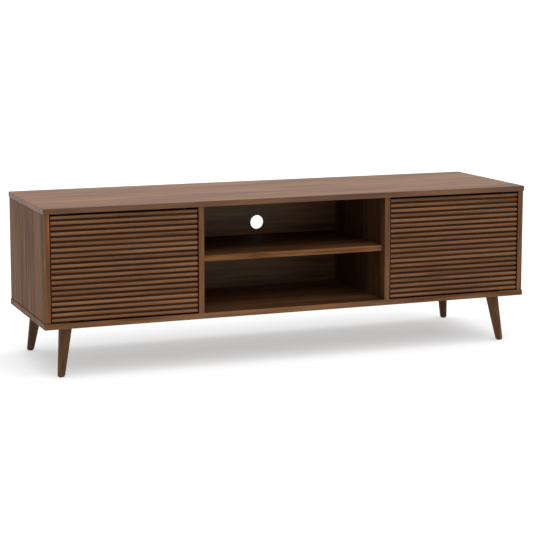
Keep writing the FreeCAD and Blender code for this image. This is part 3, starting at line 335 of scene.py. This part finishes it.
edge_group, edge_in, edge_out = open_group(
    "edge_wear",
    [
        ("Vector", "Vector", None),
        ("Low", "Vector", (0.0, 0.0, 0.0)),
        ("High", "Vector", (1.0, 1.0, 1.0)),
        ("Width", "Float", 0.002),
    ],
    [("Mask", "Float")],
)
from_low = add_node(
    edge_group, "VectorMath", {"operation": "SUBTRACT"},
    i0=edge_in.outputs["Vector"], i1=edge_in.outputs["Low"],
).outputs[0]
from_high = add_node(
    edge_group, "VectorMath", {"operation": "SUBTRACT"},
    i0=edge_in.outputs["High"], i1=edge_in.outputs["Vector"],
).outputs[0]
nearest = add_node(
    edge_group, "VectorMath", {"operation": "MINIMUM"}, i0=from_low, i1=from_high,
).outputs[0]
gaps = add_node(edge_group, "SeparateXYZ", i0=nearest).outputs
smaller = calculate(edge_group, "MINIMUM", gaps[0], gaps[1])
larger = calculate(edge_group, "MAXIMUM", gaps[0], gaps[1])
middle_gap = calculate(
    edge_group, "MAXIMUM", smaller, calculate(edge_group, "MINIMUM", larger, gaps[2]),
)
broken = stretched_noise(edge_group, edge_in.outputs["Vector"], WEAR_CELLS, detail=3.0)
uneven = spread(edge_group, broken, *NOISE_RANGE, LEAST_WEAR, MOST_WEAR)
reach = calculate(edge_group, "MULTIPLY", edge_in.outputs["Width"], uneven)
farness = calculate(edge_group, "DIVIDE", middle_gap, reach)
closeness = calculate(edge_group, "SUBTRACT", 1.0, farness)
worn = add_node(edge_group, "Clamp", Value=closeness).outputs[0]
edge_group.links.new(worn, edge_out.inputs["Mask"])
print("edge_wear has", len(edge_group.nodes), "nodes")

# %% [markdown]
# ## Painted shade inside
# The open bay and the two cupboards are painted darker than the outside and the front edges:
# this is painted shade, for the little light that reaches into them. Painting the faces one by
# one would mean cutting the boards up. This group only asks whether a point lies within a box,
# and the boxes given to it are the three rooms, a hair larger all round so that walls count as in.

# %% Build the inside group
inside_group, inside_in, inside_out = open_group(
    "inside_box",
    [("Vector", "Vector", None), ("Low", "Vector", (0, 0, 0)), ("High", "Vector", (1, 1, 1))],
    [("Mask", "Float")],
)
above_low = add_node(
    inside_group, "VectorMath", {"operation": "SUBTRACT"},
    i0=inside_in.outputs["Vector"], i1=inside_in.outputs["Low"],
).outputs[0]
below_high = add_node(
    inside_group, "VectorMath", {"operation": "SUBTRACT"},
    i0=inside_in.outputs["High"], i1=inside_in.outputs["Vector"],
).outputs[0]
tightest = add_node(
    inside_group, "VectorMath", {"operation": "MINIMUM"}, i0=above_low, i1=below_high,
).outputs[0]
rooms = add_node(inside_group, "SeparateXYZ", i0=tightest).outputs
level_room = calculate(inside_group, "MINIMUM", rooms[0], rooms[1])
least_room = calculate(inside_group, "MINIMUM", level_room, rooms[2])
is_inside = calculate(inside_group, "GREATER_THAN", least_room, 0.0)
inside_group.links.new(is_inside, inside_out.inputs["Mask"])
print("inside_box has", len(inside_group.nodes), "nodes")

# %% [markdown]
# ## Tools for materials
# Every material starts from the same nodes: a shader, and Object coordinates, which stay with
# the piece when it moves and need no unwrapping. The other two tools place a group and add a
# bump. Real displacement would need far finer meshes for relief of a fraction of a millimetre.

# %% Start a material
def new_finish(name, specular=0.5):
    """A material with its tree, its shader and its Object coordinates."""
    finish = bpy.data.materials.new(name)
    finish.use_nodes = True
    tree = finish.node_tree
    shader = tree.nodes["Principled BSDF"]
    shader.inputs["Specular IOR Level"].default_value = specular
    where = tree.nodes.new("ShaderNodeTexCoord").outputs["Object"]
    return finish, tree, shader, where


def place_group(tree, group, **values):
    """Place a node group in a material."""
    node = tree.nodes.new("ShaderNodeGroup")
    node.node_tree = group
    for label, value in values.items():
        set_input(tree, node.inputs[label], value)
    return node


def add_relief(tree, shader, height, strength, distance):
    """Give the surface a bump whose height is a distance in metres."""
    bump = add_node(tree, "Bump", Height=height, Strength=strength, Distance=distance)
    tree.links.new(bump.outputs["Normal"], shader.inputs["Normal"])


print("material tools ready")

# %% [markdown]
# ## The three rooms
# The bay and the two cupboards are measured from the boards around them, so they stay right when
# a board moves. A board's painted shade inside a room can change from front to back. A room
# begins behind the front edges, which keep the outer colour.

# %% Measure the rooms
# Painted shade of the bay and of the cupboards, multiplied into the colour of their faces.
BAY_PAINTED_SHADE = 0.52
CUPBOARD_PAINTED_SHADE = 0.30
FRONT_EDGE_TAPE = 0.0015
HAIR = Vector((0.0002, 0.0002, 0.0002))


def room_between(left_board, right_board):
    """The two corners of the room between two upright boards, a hair larger all round."""
    left_end, right_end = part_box(left_board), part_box(right_board)
    low = Vector((left_end[1].x, left_end[0].y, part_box("bottom_panel")[1].z))
    high = Vector((right_end[0].x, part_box("back_panel")[0].y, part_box("top_panel")[0].z))
    return low - HAIR, high + HAIR


ROOMS = [
    (*room_between("left_side_panel", "left_divider"), CUPBOARD_PAINTED_SHADE),
    (*room_between("left_divider", "right_divider"), BAY_PAINTED_SHADE),
    (*room_between("right_divider", "right_side_panel"), CUPBOARD_PAINTED_SHADE),
]


def room_painted_shade(tree, where, depth, low, rooms, depth_shares):
    """The painted shade of a board inside each room, with its shares in front and at the back."""
    tone = 1.0
    for room_low, room_high, darkness in rooms:
        start = Vector((room_low.x, max(room_low.y, low.y + FRONT_EDGE_TAPE), room_low.z))
        inside = place_group(tree, inside_group, Vector=where, Low=start, High=room_high)
        front_share, rear_share = (darkness * share for share in depth_shares)
        shaded = spread(tree, depth, room_low.y, room_high.y, front_share, rear_share)
        change = calculate(tree, "SUBTRACT", shaded, 1.0)
        here = calculate(tree, "MULTIPLY_ADD", inside.outputs["Mask"], change, 1.0)
        tone = calculate(tree, "MULTIPLY", here, tone)
    return tone


for room_low, room_high, darkness in ROOMS:
    print("a room is", round(room_high.x - room_low.x, 3), "m wide")

# %% [markdown]
# ## Laminated boards
# Every board has its own material, so that no two show the same run of grain: a Mapping node
# turns the grain along the board and slides it to a fresh stretch. The satin surface is what
# makes the top look paler than the fronts, because a low glance reflects the white room. The
# shader has one fixed specular level, and the fibres only vary the roughness. A board's front
# edge has painted light and shade of its own, lighter or darker than its faces. A painted
# shadow line darkens the first millimetres of each side panel above the joint under it.

# %% Make the finish of one board
ALONG_BOARD = (0.0, 0.0, 0.0)
UP_THE_BOARD = (0.0, math.pi / 2, 0.0)
EDGE_WEAR_WIDTH = 0.0015
EDGE_WEAR_SHARE = 0.3
EDGE_WEAR_COLOUR = (0.19, 0.09, 0.038, 1)
# A painted shadow line along the joint under each side panel: how high it reaches and how dark it
# is.
JOINT_SHADE_RISE = 0.0050
JOINT_SHADE_TONE = 0.12
GRAIN_RELIEF = 0.0002
GRAIN_RELIEF_STRENGTH = 0.25
EVEN = (1.0, 1.0)


def walnut_finish(
    name, box, grain_turn, slide, colours, gloss,
    contrast=2.0, specular=0.12, joint_shade=False, front_edge_light=1.0, rooms=(), depth_shares=EVEN,
):
    """Walnut laminate for a board between two corners, with worn edges, and painted light and
    shade on the front edge, inside the rooms and in the joint.
    """
    finish, tree, shader, where = new_finish(name, specular=specular)
    low, high = box
    turned = add_node(tree, "Mapping", Vector=where, Rotation=grain_turn, Location=slide)
    light, dark, tint = colours
    grain = place_group(
        tree, grain_group,
        Vector=turned.outputs[0], Light=light, Dark=dark, Tint=tint, Contrast=contrast,
    )
    wear = place_group(tree, edge_group, Vector=where, Low=low, High=high, Width=EDGE_WEAR_WIDTH)
    worn_share = calculate(tree, "MULTIPLY", wear.outputs["Mask"], EDGE_WEAR_SHARE)
    colour = add_node(
        tree, "Mix", {"data_type": "RGBA"},
        i0=worn_share, i6=grain.outputs["Color"], i7=EDGE_WEAR_COLOUR,
    )
    axes = add_node(tree, "SeparateXYZ", i0=where).outputs
    # Painted light and shade: the front edge is scaled by its own tone, and the faces inside the
    # rooms are darkened.
    behind_tape = calculate(tree, "GREATER_THAN", axes["Y"], low.y + FRONT_EDGE_TAPE)
    tone = calculate(
        tree, "MULTIPLY", spread(tree, behind_tape, 0.0, 1.0, front_edge_light, 1.0),
        room_painted_shade(tree, where, axes["Y"], low, rooms, depth_shares),
    )
    # Painted shadow in the joint: darkest at the panel's lower end, fading out over the first
    # millimetres.
    if joint_shade:
        above_joint = calculate(tree, "SUBTRACT", axes["Z"], low.z)
        joint_shading = spread(tree, above_joint, 0.0, JOINT_SHADE_RISE, JOINT_SHADE_TONE, 1.0)
        tone = calculate(tree, "MULTIPLY", tone, joint_shading)
    toned = add_node(tree, "VectorMath", {"operation": "SCALE"}, i0=colour.outputs[2], i3=tone)
    tree.links.new(toned.outputs[0], shader.inputs["Base Color"])
    smooth, rough = gloss
    roughness = spread(tree, grain.outputs["Fibre"], 0.0, 1.0, smooth, rough)
    tree.links.new(roughness, shader.inputs["Roughness"])
    add_relief(tree, shader, grain.outputs["Height"], GRAIN_RELIEF_STRENGTH, GRAIN_RELIEF)
    return finish


print("board finish ready")

# %% [markdown]
# ## Which board gets which run of grain
# The long panels and the shelf show their grain lengthwise, and the sides and dividers show it
# upright, as the sheets they are cut from would be laid. The door panels behind the slats are
# painted much darker, as painted shade in the grooves between the slats. The side panels and
# the dividers are darker copies of the walnut, painted shade for faces that the lamp lights
# less. Each board slides the pattern by its own amount, counted up in steps that never repeat a
# stretch. The top is the glossiest board, since it is wiped the most, so it has the highest
# specular level. Only on the bottom panel does the painted shade of the rooms change from front
# to back. A table keeps all of this in one place, one line for each board.

# %% Finish the boards
LIGHT_WALNUT = (0.178, 0.081, 0.033, 1)
DARK_WALNUT = (0.070, 0.027, 0.0095, 1)
RED_WALNUT = (0.170, 0.066, 0.026, 1)
WALNUT = (LIGHT_WALNUT, DARK_WALNUT, RED_WALNUT)


def shade(colours, share):
    """The same colours, darker."""
    return tuple(
        (red * share, green * share, blue * share, 1) for red, green, blue, alpha in colours
    )


PATTERN_STEP = Vector((1.7, 0.93, 0.61))


def finish_node(name, finish):
    """Give a piece of the frame its finish."""
    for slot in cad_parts[name].material_slots:
        slot.material = finish


# name, run of the grain, colours with any painted shade, smoothest and roughest, specular, painted
# light and shade of the front edge
BOARDS = [
    ("top_panel", ALONG_BOARD, WALNUT, (0.42, 0.52), 0.27, 0.70),
    ("bottom_panel", ALONG_BOARD, WALNUT, (0.50, 0.60), 0.10, 0.88),
    ("centre_shelf", ALONG_BOARD, WALNUT, (0.70, 0.80), 0.03, 1.10),
    # Painted shade: the side panels and dividers are darker copies of the walnut.
    ("left_side_panel", UP_THE_BOARD, shade(WALNUT, 0.83), (0.55, 0.65), 0.08, 1.30),
    ("right_side_panel", UP_THE_BOARD, shade(WALNUT, 0.83), (0.55, 0.65), 0.08, 1.15),
    ("left_divider", UP_THE_BOARD, shade(WALNUT, 0.92), (0.50, 0.60), 0.10, 0.93),
    ("right_divider", UP_THE_BOARD, shade(WALNUT, 0.85), (0.50, 0.60), 0.10, 0.92),
    # Painted shade: the door panels behind the slats are darkened to stand for the shade in the
    # grooves.
    ("left_door_panel", ALONG_BOARD, shade(WALNUT, 0.30), (0.50, 0.60), 0.10, 1.0),
    ("right_door_panel", ALONG_BOARD, shade(WALNUT, 0.30), (0.50, 0.60), 0.10, 1.0),
]
# The painted shade on the floor of the rooms is darker at the front and lighter at the back.
FLOOR_SHADE_SHARES = (0.42, 2.6)

for index, (name, grain_turn, colours, gloss, specular, front_edge_light) in enumerate(BOARDS):
    slide = PATTERN_STEP * index
    finish_node(name, walnut_finish(
        f"walnut_{name}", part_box(name), grain_turn, slide, colours, gloss, specular=specular,
        joint_shade=name.endswith("side_panel"), front_edge_light=front_edge_light,
        rooms=() if name.endswith("door_panel") else ROOMS,
        depth_shares=FLOOR_SHADE_SHARES if name == "bottom_panel" else EVEN,
    ))
print(len(BOARDS), "boards finished")

# %% [markdown]
# ## The back panel
# The thin back has glossy walnut foil on its front only. Its other side is bare fibreboard, a
# plain brown felt of fine fibres. Two materials on two sets of faces would need the mesh to be
# changed, so one material asks how deep a point lies in the panel: at the front face it is
# foil, and behind it, and round the cable hole, it is board.

# %% Finish the back panel
BARE_BOARD_LIGHT = (0.36, 0.23, 0.13, 1)
BARE_BOARD_DARK = (0.25, 0.15, 0.08, 1)
BARE_ROUGHNESS = 0.9
FELT_CELLS = (400.0, 400.0, 400.0)
FELT_RANGE = (0.35, 0.65)
FOIL_DEPTH = 0.0003
# The foil is a darker copy of the walnut: painted shade at the back of the bay and cupboards, on
# top of the rooms' painted shade.
FOIL_PAINTED_SHADE = 0.66
FOIL_GLOSS = (0.30, 0.38)
FOIL_SPECULAR = 0.40
WARM_GLOSS = (1.0, 0.78, 0.58, 1)

back_low, back_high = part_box("back_panel")
back_finish = walnut_finish(
    "foiled_back_panel", (back_low, back_high), ALONG_BOARD, PATTERN_STEP * len(BOARDS),
    shade(WALNUT, FOIL_PAINTED_SHADE), FOIL_GLOSS, specular=FOIL_SPECULAR, rooms=ROOMS,
)
back_tree = back_finish.node_tree
back_shader = back_tree.nodes["Principled BSDF"]
back_shader.inputs["Specular Tint"].default_value = WARM_GLOSS
back_where = back_tree.nodes["Texture Coordinate"].outputs["Object"]
back_depth = add_node(back_tree, "SeparateXYZ", i0=back_where).outputs["Y"]
is_bare = calculate(back_tree, "GREATER_THAN", back_depth, back_low.y + FOIL_DEPTH)
felt = stretched_noise(back_tree, back_where, FELT_CELLS, detail=4.0, roughness=0.7)
felt_colour = add_node(
    back_tree, "Mix", {"data_type": "RGBA"},
    i0=spread(back_tree, felt, *FELT_RANGE), i6=BARE_BOARD_DARK, i7=BARE_BOARD_LIGHT,
).outputs[2]
for socket, bare_value in (("Base Color", felt_colour), ("Roughness", BARE_ROUGHNESS)):
    foil_value = back_shader.inputs[socket].links[0].from_socket
    kind = "RGBA" if socket == "Base Color" else "FLOAT"
    first, second = ("i6", "i7") if kind == "RGBA" else ("i2", "i3")
    mixed = add_node(
        back_tree, "Mix", {"data_type": kind},
        i0=is_bare, **{first: foil_value, second: bare_value},
    )
    result = mixed.outputs[2] if kind == "RGBA" else mixed.outputs[0]
    back_tree.links.new(result, back_shader.inputs[socket])
finish_node("back_panel", back_finish)
print("back panel finished")

# %% [markdown]
# ## Modelling tools
# New pieces are modelled as by hand: add a primitive at its size and place, go into edit mode,
# pick faces or edges, and work on them. Picking is done by a test on an edge's or face's
# place, because numbers given to elements change with every cut. Each piece ends with its
# object at the origin and its place in its mesh.

# %% Pick, edit and settle
SOFT_EDGE = math.radians(40)


def add_primitive(operator, name, **settings):
    """Add a primitive with nothing else selected, and name it."""
    if bpy.context.object and bpy.context.object.mode != "OBJECT":
        bpy.ops.object.mode_set(mode="OBJECT")
    bpy.ops.object.select_all(action="DESELECT")
    operator(**settings)
    piece = bpy.context.object
    piece.name = name
    bpy.ops.object.transform_apply(location=True, rotation=True, scale=True)
    return piece


def pick(piece, kind, chosen):
    """In edit mode, select only the vertices, edges or faces that pass a test."""
    bpy.ops.mesh.select_mode(type=kind)
    bpy.ops.mesh.select_all(action="DESELECT")
    shape = bmesh.from_edit_mesh(piece.data)
    elements = {"VERT": shape.verts, "EDGE": shape.edges, "FACE": shape.faces}[kind]
    for element in elements:
        if chosen(element):
            element.select_set(True)
    bmesh.update_edit_mesh(piece.data)


def settle(piece, finish, body, slot_name, *replaced):
    """Leave edit mode, smooth the soft edges, and put a finished piece on its body."""
    if piece.mode != "OBJECT":
        bpy.ops.object.mode_set(mode="OBJECT")
    bpy.ops.object.select_all(action="DESELECT")
    piece.select_set(True)
    bpy.context.view_layer.objects.active = piece
    bpy.ops.object.shade_smooth_by_angle(angle=SOFT_EDGE)
    bpy.ops.object.transform_apply(location=True, rotation=True, scale=True)
    piece.data.materials.clear()
    piece.data.materials.append(finish)
    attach(piece, body)
    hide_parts(*replaced)
    print(piece.name, "has", len(piece.data.polygons), "faces")


# %% [markdown]
# ## The slats on the doors
# Twenty moulded slats cover each door. One is a bar of the door's full width with its two
# front edges rounded, which takes the light along the upper half of its crest and lets the
# lower half fall into shade. It is modelled once, from a cube with two bevelled edges, and
# copied up the door. An array modifier would also repeat it; here the copies are made one by
# one and then joined into one piece. The bevel has five steps, enough to look round.

# %% Model and copy the slats
SLAT_COUNT = 20
SLAT_HEIGHT = 0.0085
SLAT_ROUNDING = 0.0036
SLAT_ROUNDING_STEPS = 5
SLAT_END_BEVEL = 0.0003
SLAT_GLOSS = (0.42, 0.54)
SLAT_CONTRAST = 1.4
STRIP_SLIDE = 0.73
FIRST_SLAT_STRETCH = len(BOARDS) + 1
ON_PLANE = 1e-6
MOSTLY = 0.9


def is_front_long_edge(edge, front, length):
    """True for an edge along X that lies on the front plane."""
    start, end = (corner.co for corner in edge.verts)
    return abs(start.x - end.x) > length / 2 and max(start.y, end.y) < front + ON_PLANE


def cut_from_own_strips(finish, box):
    """Slide the grain along each slat by its own amount, so that neighbours never match."""
    tree = finish.node_tree
    low, high = box
    pitch = (high.z - low.z - SLAT_HEIGHT) / (SLAT_COUNT - 1)
    where = tree.nodes["Texture Coordinate"].outputs["Object"]
    height = add_node(tree, "SeparateXYZ", i0=where).outputs["Z"]
    rise = calculate(tree, "SUBTRACT", height, low.z)
    number = calculate(tree, "FLOOR", calculate(tree, "DIVIDE", rise, pitch))
    along = calculate(tree, "MULTIPLY", number, STRIP_SLIDE)
    own_slide = add_node(tree, "CombineXYZ", i0=along).outputs[0]
    moved = add_node(tree, "VectorMath", {"operation": "ADD"}, i0=where, i1=own_slide).outputs[0]
    tree.links.new(moved, tree.nodes["Mapping"].inputs["Vector"])


def model_slats(side, finish):
    """All the slats of one door, as one piece."""
    low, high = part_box(f"{side}_door_slats")
    size = high - low
    name = f"{side}_door_ribs"
    slat = add_primitive(
        bpy.ops.mesh.primitive_cube_add, name,
        size=1,
        location=(low.x + size.x / 2, low.y + size.y / 2, low.z + SLAT_HEIGHT / 2),
        scale=(size.x, size.y, SLAT_HEIGHT),
    )
    bpy.ops.object.mode_set(mode="EDIT")
    pick(slat, "EDGE", lambda edge: is_front_long_edge(edge, low.y, size.x))
    bpy.ops.mesh.bevel(offset=SLAT_ROUNDING, segments=SLAT_ROUNDING_STEPS, affect="EDGES")
    pick(slat, "FACE", lambda face: abs(face.normal.x) > MOSTLY)
    bpy.ops.mesh.bevel(offset=SLAT_END_BEVEL, segments=1, affect="EDGES")
    bpy.ops.object.mode_set(mode="OBJECT")
    step = (size.z - SLAT_HEIGHT) / (SLAT_COUNT - 1)
    row = [slat]
    for index in range(1, SLAT_COUNT):
        bpy.ops.object.select_all(action="DESELECT")
        slat.select_set(True)
        bpy.context.view_layer.objects.active = slat
        bpy.ops.object.duplicate()
        bpy.ops.transform.translate(value=(0, 0, index * step))
        row.append(bpy.context.object)
    bpy.ops.object.select_all(action="DESELECT")
    for piece in row:
        piece.select_set(True)
    bpy.context.view_layer.objects.active = slat
    bpy.ops.object.join()
    settle(slat, finish, f"{side}_door", "walnut_slat", f"{side}_door_slats")


for index, side in enumerate(("left", "right")):
    slat_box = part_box(f"{side}_door_slats")
    slide = PATTERN_STEP * (FIRST_SLAT_STRETCH + index)
    finish = walnut_finish(
        f"walnut_{side}_slats", slat_box, ALONG_BOARD, slide, WALNUT, SLAT_GLOSS,
        contrast=SLAT_CONTRAST,
    )
    cut_from_own_strips(finish, slat_box)
    model_slats(side, finish)

# %% [markdown]
# ## The legs
# A leg is turned to a plain taper, set at a slant, and cut level where it meets the panel and
# the floor. Modelling it the same way is also the shortest: a cone that is too long at both
# ends is leaned over about its foot, and two bisecting planes cut it level. Shearing an upright
# cone would keep its ends level at once, but its section would then be squashed.

# %% Model the legs
LEG_TOP_RADIUS = 0.018
LEG_FOOT_RADIUS = 0.010
LEG_SPLAY = 0.018
LEG_SPARE = 0.018
LEG_SIDES = 64
FOOT_ROUNDING = 0.0015
FOOT_ROUNDING_STEPS = 3
# The front legs take a darker stain; the rear legs are darker again, with painted shade under the
# stand.
FRONT_LEG_SHADE = 0.78
REAR_LEG_STAIN_AND_SHADE = 0.50
LEG_GLOSS = (0.38, 0.5)
LEG_CONTRAST = 1.8
FIRST_LEG_STRETCH = FIRST_SLAT_STRETCH + 2
AT_FOOT = 1e-5
LEG_CORNERS = {
    "front_left": (-1, -1), "front_right": (1, -1), "rear_left": (-1, 1), "rear_right": (1, 1),
}


def model_leg(name, side_x, side_y, finish):
    """One leg, whose foot stands on its glide and leans out along both sides of the stand."""
    glide_low, glide_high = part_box(f"{name}_glide")
    panel_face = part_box("bottom_panel")[0].z
    foot = (glide_low + glide_high) / 2
    foot.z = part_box(f"{name}_leg")[0].z
    rise = panel_face - foot.z
    lean = math.atan(math.sqrt(2) * LEG_SPLAY / rise)
    length = math.hypot(rise, math.sqrt(2) * LEG_SPLAY)
    taper = (LEG_TOP_RADIUS - LEG_FOOT_RADIUS) / length
    leg = add_primitive(
        bpy.ops.mesh.primitive_cone_add, f"{name}_turned_leg",
        vertices=LEG_SIDES,
        radius1=LEG_FOOT_RADIUS - taper * LEG_SPARE,
        radius2=LEG_TOP_RADIUS + taper * LEG_SPARE,
        depth=length + 2 * LEG_SPARE,
        location=foot + Vector((0, 0, length / 2)),
    )
    bpy.ops.object.mode_set(mode="EDIT")
    bpy.ops.mesh.select_all(action="SELECT")
    # Lean it to the back over its foot, then turn it on the foot until it leans to the middle
    heading = math.atan2(side_x, -side_y)
    bpy.ops.transform.rotate(value=lean, orient_axis="X", center_override=foot)
    bpy.ops.transform.rotate(value=-heading, orient_axis="Z", center_override=foot)
    for level, clears in ((panel_face, "clear_outer"), (foot.z, "clear_inner")):
        bpy.ops.mesh.select_all(action="SELECT")
        bpy.ops.mesh.bisect(
            plane_co=(0, 0, level), plane_no=(0, 0, 1), use_fill=True, **{clears: True},
        )
    pick(leg, "EDGE", lambda edge: all(corner.co.z < foot.z + AT_FOOT for corner in edge.verts))
    bpy.ops.mesh.bevel(offset=FOOT_ROUNDING, segments=FOOT_ROUNDING_STEPS, affect="EDGES")
    settle(leg, finish, "carcass", "turned_leg", f"{name}_leg")


for index, (name, (side_x, side_y)) in enumerate(LEG_CORNERS.items()):
    slide = PATTERN_STEP * (FIRST_LEG_STRETCH + index)
    # Stain on every leg, and painted shade on the rear ones.
    stain_and_shade = shade(WALNUT, FRONT_LEG_SHADE if side_y < 0 else REAR_LEG_STAIN_AND_SHADE)
    finish = walnut_finish(
        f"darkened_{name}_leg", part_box(f"{name}_leg"), UP_THE_BOARD, slide, stain_and_shade, LEG_GLOSS,
        contrast=LEG_CONTRAST,
    )
    model_leg(name, side_x, side_y, finish)

# %% [markdown]
# ## Metal and plastic surfaces
# The fittings hide in the boards and in the gaps round the doors: cams, bolts, screws, pins,
# plates, bushes, magnets and springs. Cast zinc, plated steel, nickel, nylon and moulded plastic
# all differ in colour and polish, but each is made lively by the same two things, slow blotches
# and a fine grain. One group gives both. Scratches painted by hand would look better on a large
# part, but these pieces are a few millimetres across.

# %% Build the surface group
surface_group, surface_in, surface_out = open_group(
    "blotch_and_grain",
    [("Vector", "Vector", None), ("Blotches", "Float", 120.0), ("Grains", "Float", 1500.0)],
    [("Blotch", "Float"), ("Grain", "Float")],
)
for label, size_label, detail in (("Blotch", "Blotches", 3.0), ("Grain", "Grains", 2.0)):
    noise = add_node(
        surface_group, "TexNoise",
        Vector=surface_in.outputs["Vector"], Scale=surface_in.outputs[size_label], Detail=detail,
    ).outputs[0]
    full_noise = spread(surface_group, noise, *NOISE_RANGE)
    surface_group.links.new(full_noise, surface_out.inputs[label])
print("blotch_and_grain has", len(surface_group.nodes), "nodes")

# %% [markdown]
# ## The finishes of the fittings
# Except for the springs, the fittings have their right shapes already, so they only need these
# surfaces. Each finish mixes a pale and a dark tone by the blotches and grains, and lets the
# blotches change its polish. Seven finishes cover them all, because pieces of one metal share
# one. A finish for every piece would only repeat the same numbers. The numbers of a finish are
# its pale tone, its dark tone, and how rough it is where it is smoothest and roughest.

# %% Make the finish of a fitting
BLOTCH_SHARE = 0.7
SPECKLE_SHARE = 0.3
SPECKLE_RELIEF = 0.00004
SPECKLE_RELIEF_STRENGTH = 0.3


def fitting_finish(name, pale, dark, gloss, metallic=0.0, blotches=120.0, grains=1500.0):
    """Metal or plastic whose tone and polish vary in blotches, with a fine grain in relief."""
    finish, tree, shader, where = new_finish(name)
    shader.inputs["Metallic"].default_value = metallic
    surface = place_group(tree, surface_group, Vector=where, Blotches=blotches, Grains=grains)
    blotched = calculate(tree, "MULTIPLY", surface.outputs["Blotch"], BLOTCH_SHARE)
    speckle = calculate(tree, "MULTIPLY_ADD", surface.outputs["Grain"], SPECKLE_SHARE, blotched)
    colour = add_node(
        tree, "Mix", {"data_type": "RGBA"}, i0=speckle, i6=(*dark, 1), i7=(*pale, 1),
    )
    tree.links.new(colour.outputs[2], shader.inputs["Base Color"])
    smooth, rough = gloss
    roughness = spread(tree, surface.outputs["Blotch"], 0.0, 1.0, smooth, rough)
    tree.links.new(roughness, shader.inputs["Roughness"])
    add_relief(tree, shader, surface.outputs["Grain"], SPECKLE_RELIEF_STRENGTH, SPECKLE_RELIEF)
    return finish


FITTINGS = {
    "zinc_plate": fitting_finish(
        "plated_steel", (0.62, 0.63, 0.65), (0.42, 0.43, 0.45), (0.25, 0.42), metallic=1.0,
    ),
    "cast_zinc": fitting_finish(
        "cast_zinc", (0.50, 0.50, 0.51), (0.33, 0.33, 0.34), (0.42, 0.6),
        metallic=1.0, grains=900.0,
    ),
    # Painted shade: the pivot fittings in the gaps round the doors are made near black.
    "gap_shade_steel": fitting_finish(
        "steel_darkened_as_gap_shade", (0.022, 0.019, 0.017), (0.010, 0.009, 0.008), (0.5, 0.65),
        metallic=0.3,
    ),
    "nickel": fitting_finish(
        "nickel_plate", (0.74, 0.72, 0.69), (0.60, 0.58, 0.55), (0.10, 0.2), metallic=1.0,
    ),
    "nylon": fitting_finish(
        "natural_nylon", (0.78, 0.76, 0.70), (0.66, 0.63, 0.56), (0.38, 0.5), blotches=90.0,
    ),
    "brown_plastic": fitting_finish(
        "brown_moulded_plastic", (0.030, 0.019, 0.013), (0.020, 0.012, 0.008), (0.42, 0.55),
    ),
    "black_plastic": fitting_finish(
        "black_moulded_plastic", (0.014, 0.013, 0.012), (0.007, 0.0065, 0.006), (0.45, 0.6),
        grains=1100.0,
    ),
}
print(len(FITTINGS), "fitting finishes")

# %% [markdown]
# ## Which fitting gets which finish
# Pieces are told by the ends of their names. The pivot plates and their pins and screws stand
# in the gaps above and below the doors, and they are painted near black as painted shade, so
# that the gaps look empty.
# The dowels are beech, so they take the grain group again, in its own pale colours.

# %% Finish the fittings
FITTING_OF = {
    "cam_locks": "cast_zinc", "striker": "zinc_plate", "magnet": "nickel", "bush": "nylon",
    "pivot_plate": "gap_shade_steel", "pivot_pin": "gap_shade_steel", "pivot_plate_screws": "gap_shade_steel",
    "pivot_washers": "black_plastic", "latch_housing": "brown_plastic", "plunger": "brown_plastic",
    "glide": "black_plastic", "screws": "zinc_plate", "striker_screw": "zinc_plate",
    "bolts": "zinc_plate", "inserts": "zinc_plate",
}
BEECH = ((0.56, 0.37, 0.20, 1), (0.44, 0.27, 0.13, 1), (0.55, 0.33, 0.18, 1))
BEECH_GLOSS = (0.55, 0.7)
BEECH_CONTRAST = 1.4
DOWEL_STRETCH = 20

dowel_finish = walnut_finish(
    "beech_dowels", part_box("panel_dowels"), ALONG_BOARD, PATTERN_STEP * DOWEL_STRETCH, BEECH,
    BEECH_GLOSS, contrast=BEECH_CONTRAST,
)
finish_node("panel_dowels", dowel_finish)
finished_nodes = {board[0] for board in BOARDS} | {"back_panel", "panel_dowels"}
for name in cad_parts:
    ending = max((end for end in FITTING_OF if name.endswith(end)), key=len, default=None)
    if ending:
        finish_node(name, FITTINGS[FITTING_OF[ending]])
        finished_nodes.add(name)
REMODELLED = ("_leg", "_door_slats", "_latch_spring")
replaced_nodes = {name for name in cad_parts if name.endswith(REMODELLED)}
print("without a finish:", sorted(set(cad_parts) - finished_nodes - replaced_nodes))

# %% [markdown]
# ## The latch springs
# A spring pushes each plunger out, and it has to shorten when the door presses the plunger in.
# It is coiled as a wire is: a small ring, set off from the axis, is carried round and along it
# by a Screw modifier, and the two cut ends are filled. Spinning the ring would keep it in one
# plane. The rear end of the coil stays on the housing's wall, and the coil is made at its full
# length.

# %% Coil the springs
SPRING_TURNS = 7
SPRING_WIRE = 0.0008
WIRE_SIDES = 12
TURN_STEPS = 36


def model_spring(side):
    """One latch spring, coiled at its full length."""
    low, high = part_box(f"{side}_latch_spring")
    middle = (low + high) / 2
    coil_radius = (high.x - low.x - SPRING_WIRE) / 2
    rise = high.y - low.y - SPRING_WIRE
    spring = add_primitive(
        bpy.ops.mesh.primitive_circle_add, f"{side}_coil_spring",
        vertices=WIRE_SIDES, radius=SPRING_WIRE / 2, location=(coil_radius, 0, 0),
    )
    coil = spring.modifiers.new("coil", "SCREW")
    coil.axis = "Y"
    coil.iterations = SPRING_TURNS
    coil.screw_offset = rise / SPRING_TURNS
    coil.steps = coil.render_steps = TURN_STEPS
    bpy.ops.object.modifier_apply(modifier="coil")
    bpy.ops.object.mode_set(mode="EDIT")
    bpy.ops.mesh.select_all(action="SELECT")
    bpy.ops.mesh.fill_holes(sides=WIRE_SIDES)
    bpy.ops.mesh.select_all(action="SELECT")
    bpy.ops.mesh.normals_make_consistent(inside=False)
    start = Vector((middle.x, low.y + SPRING_WIRE / 2, middle.z))
    bpy.ops.transform.translate(value=start)
    settle(spring, FITTINGS["zinc_plate"], "carcass", "zinc_steel", f"{side}_latch_spring")
    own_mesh(spring)


for side in ("left", "right"):
    model_spring(side)
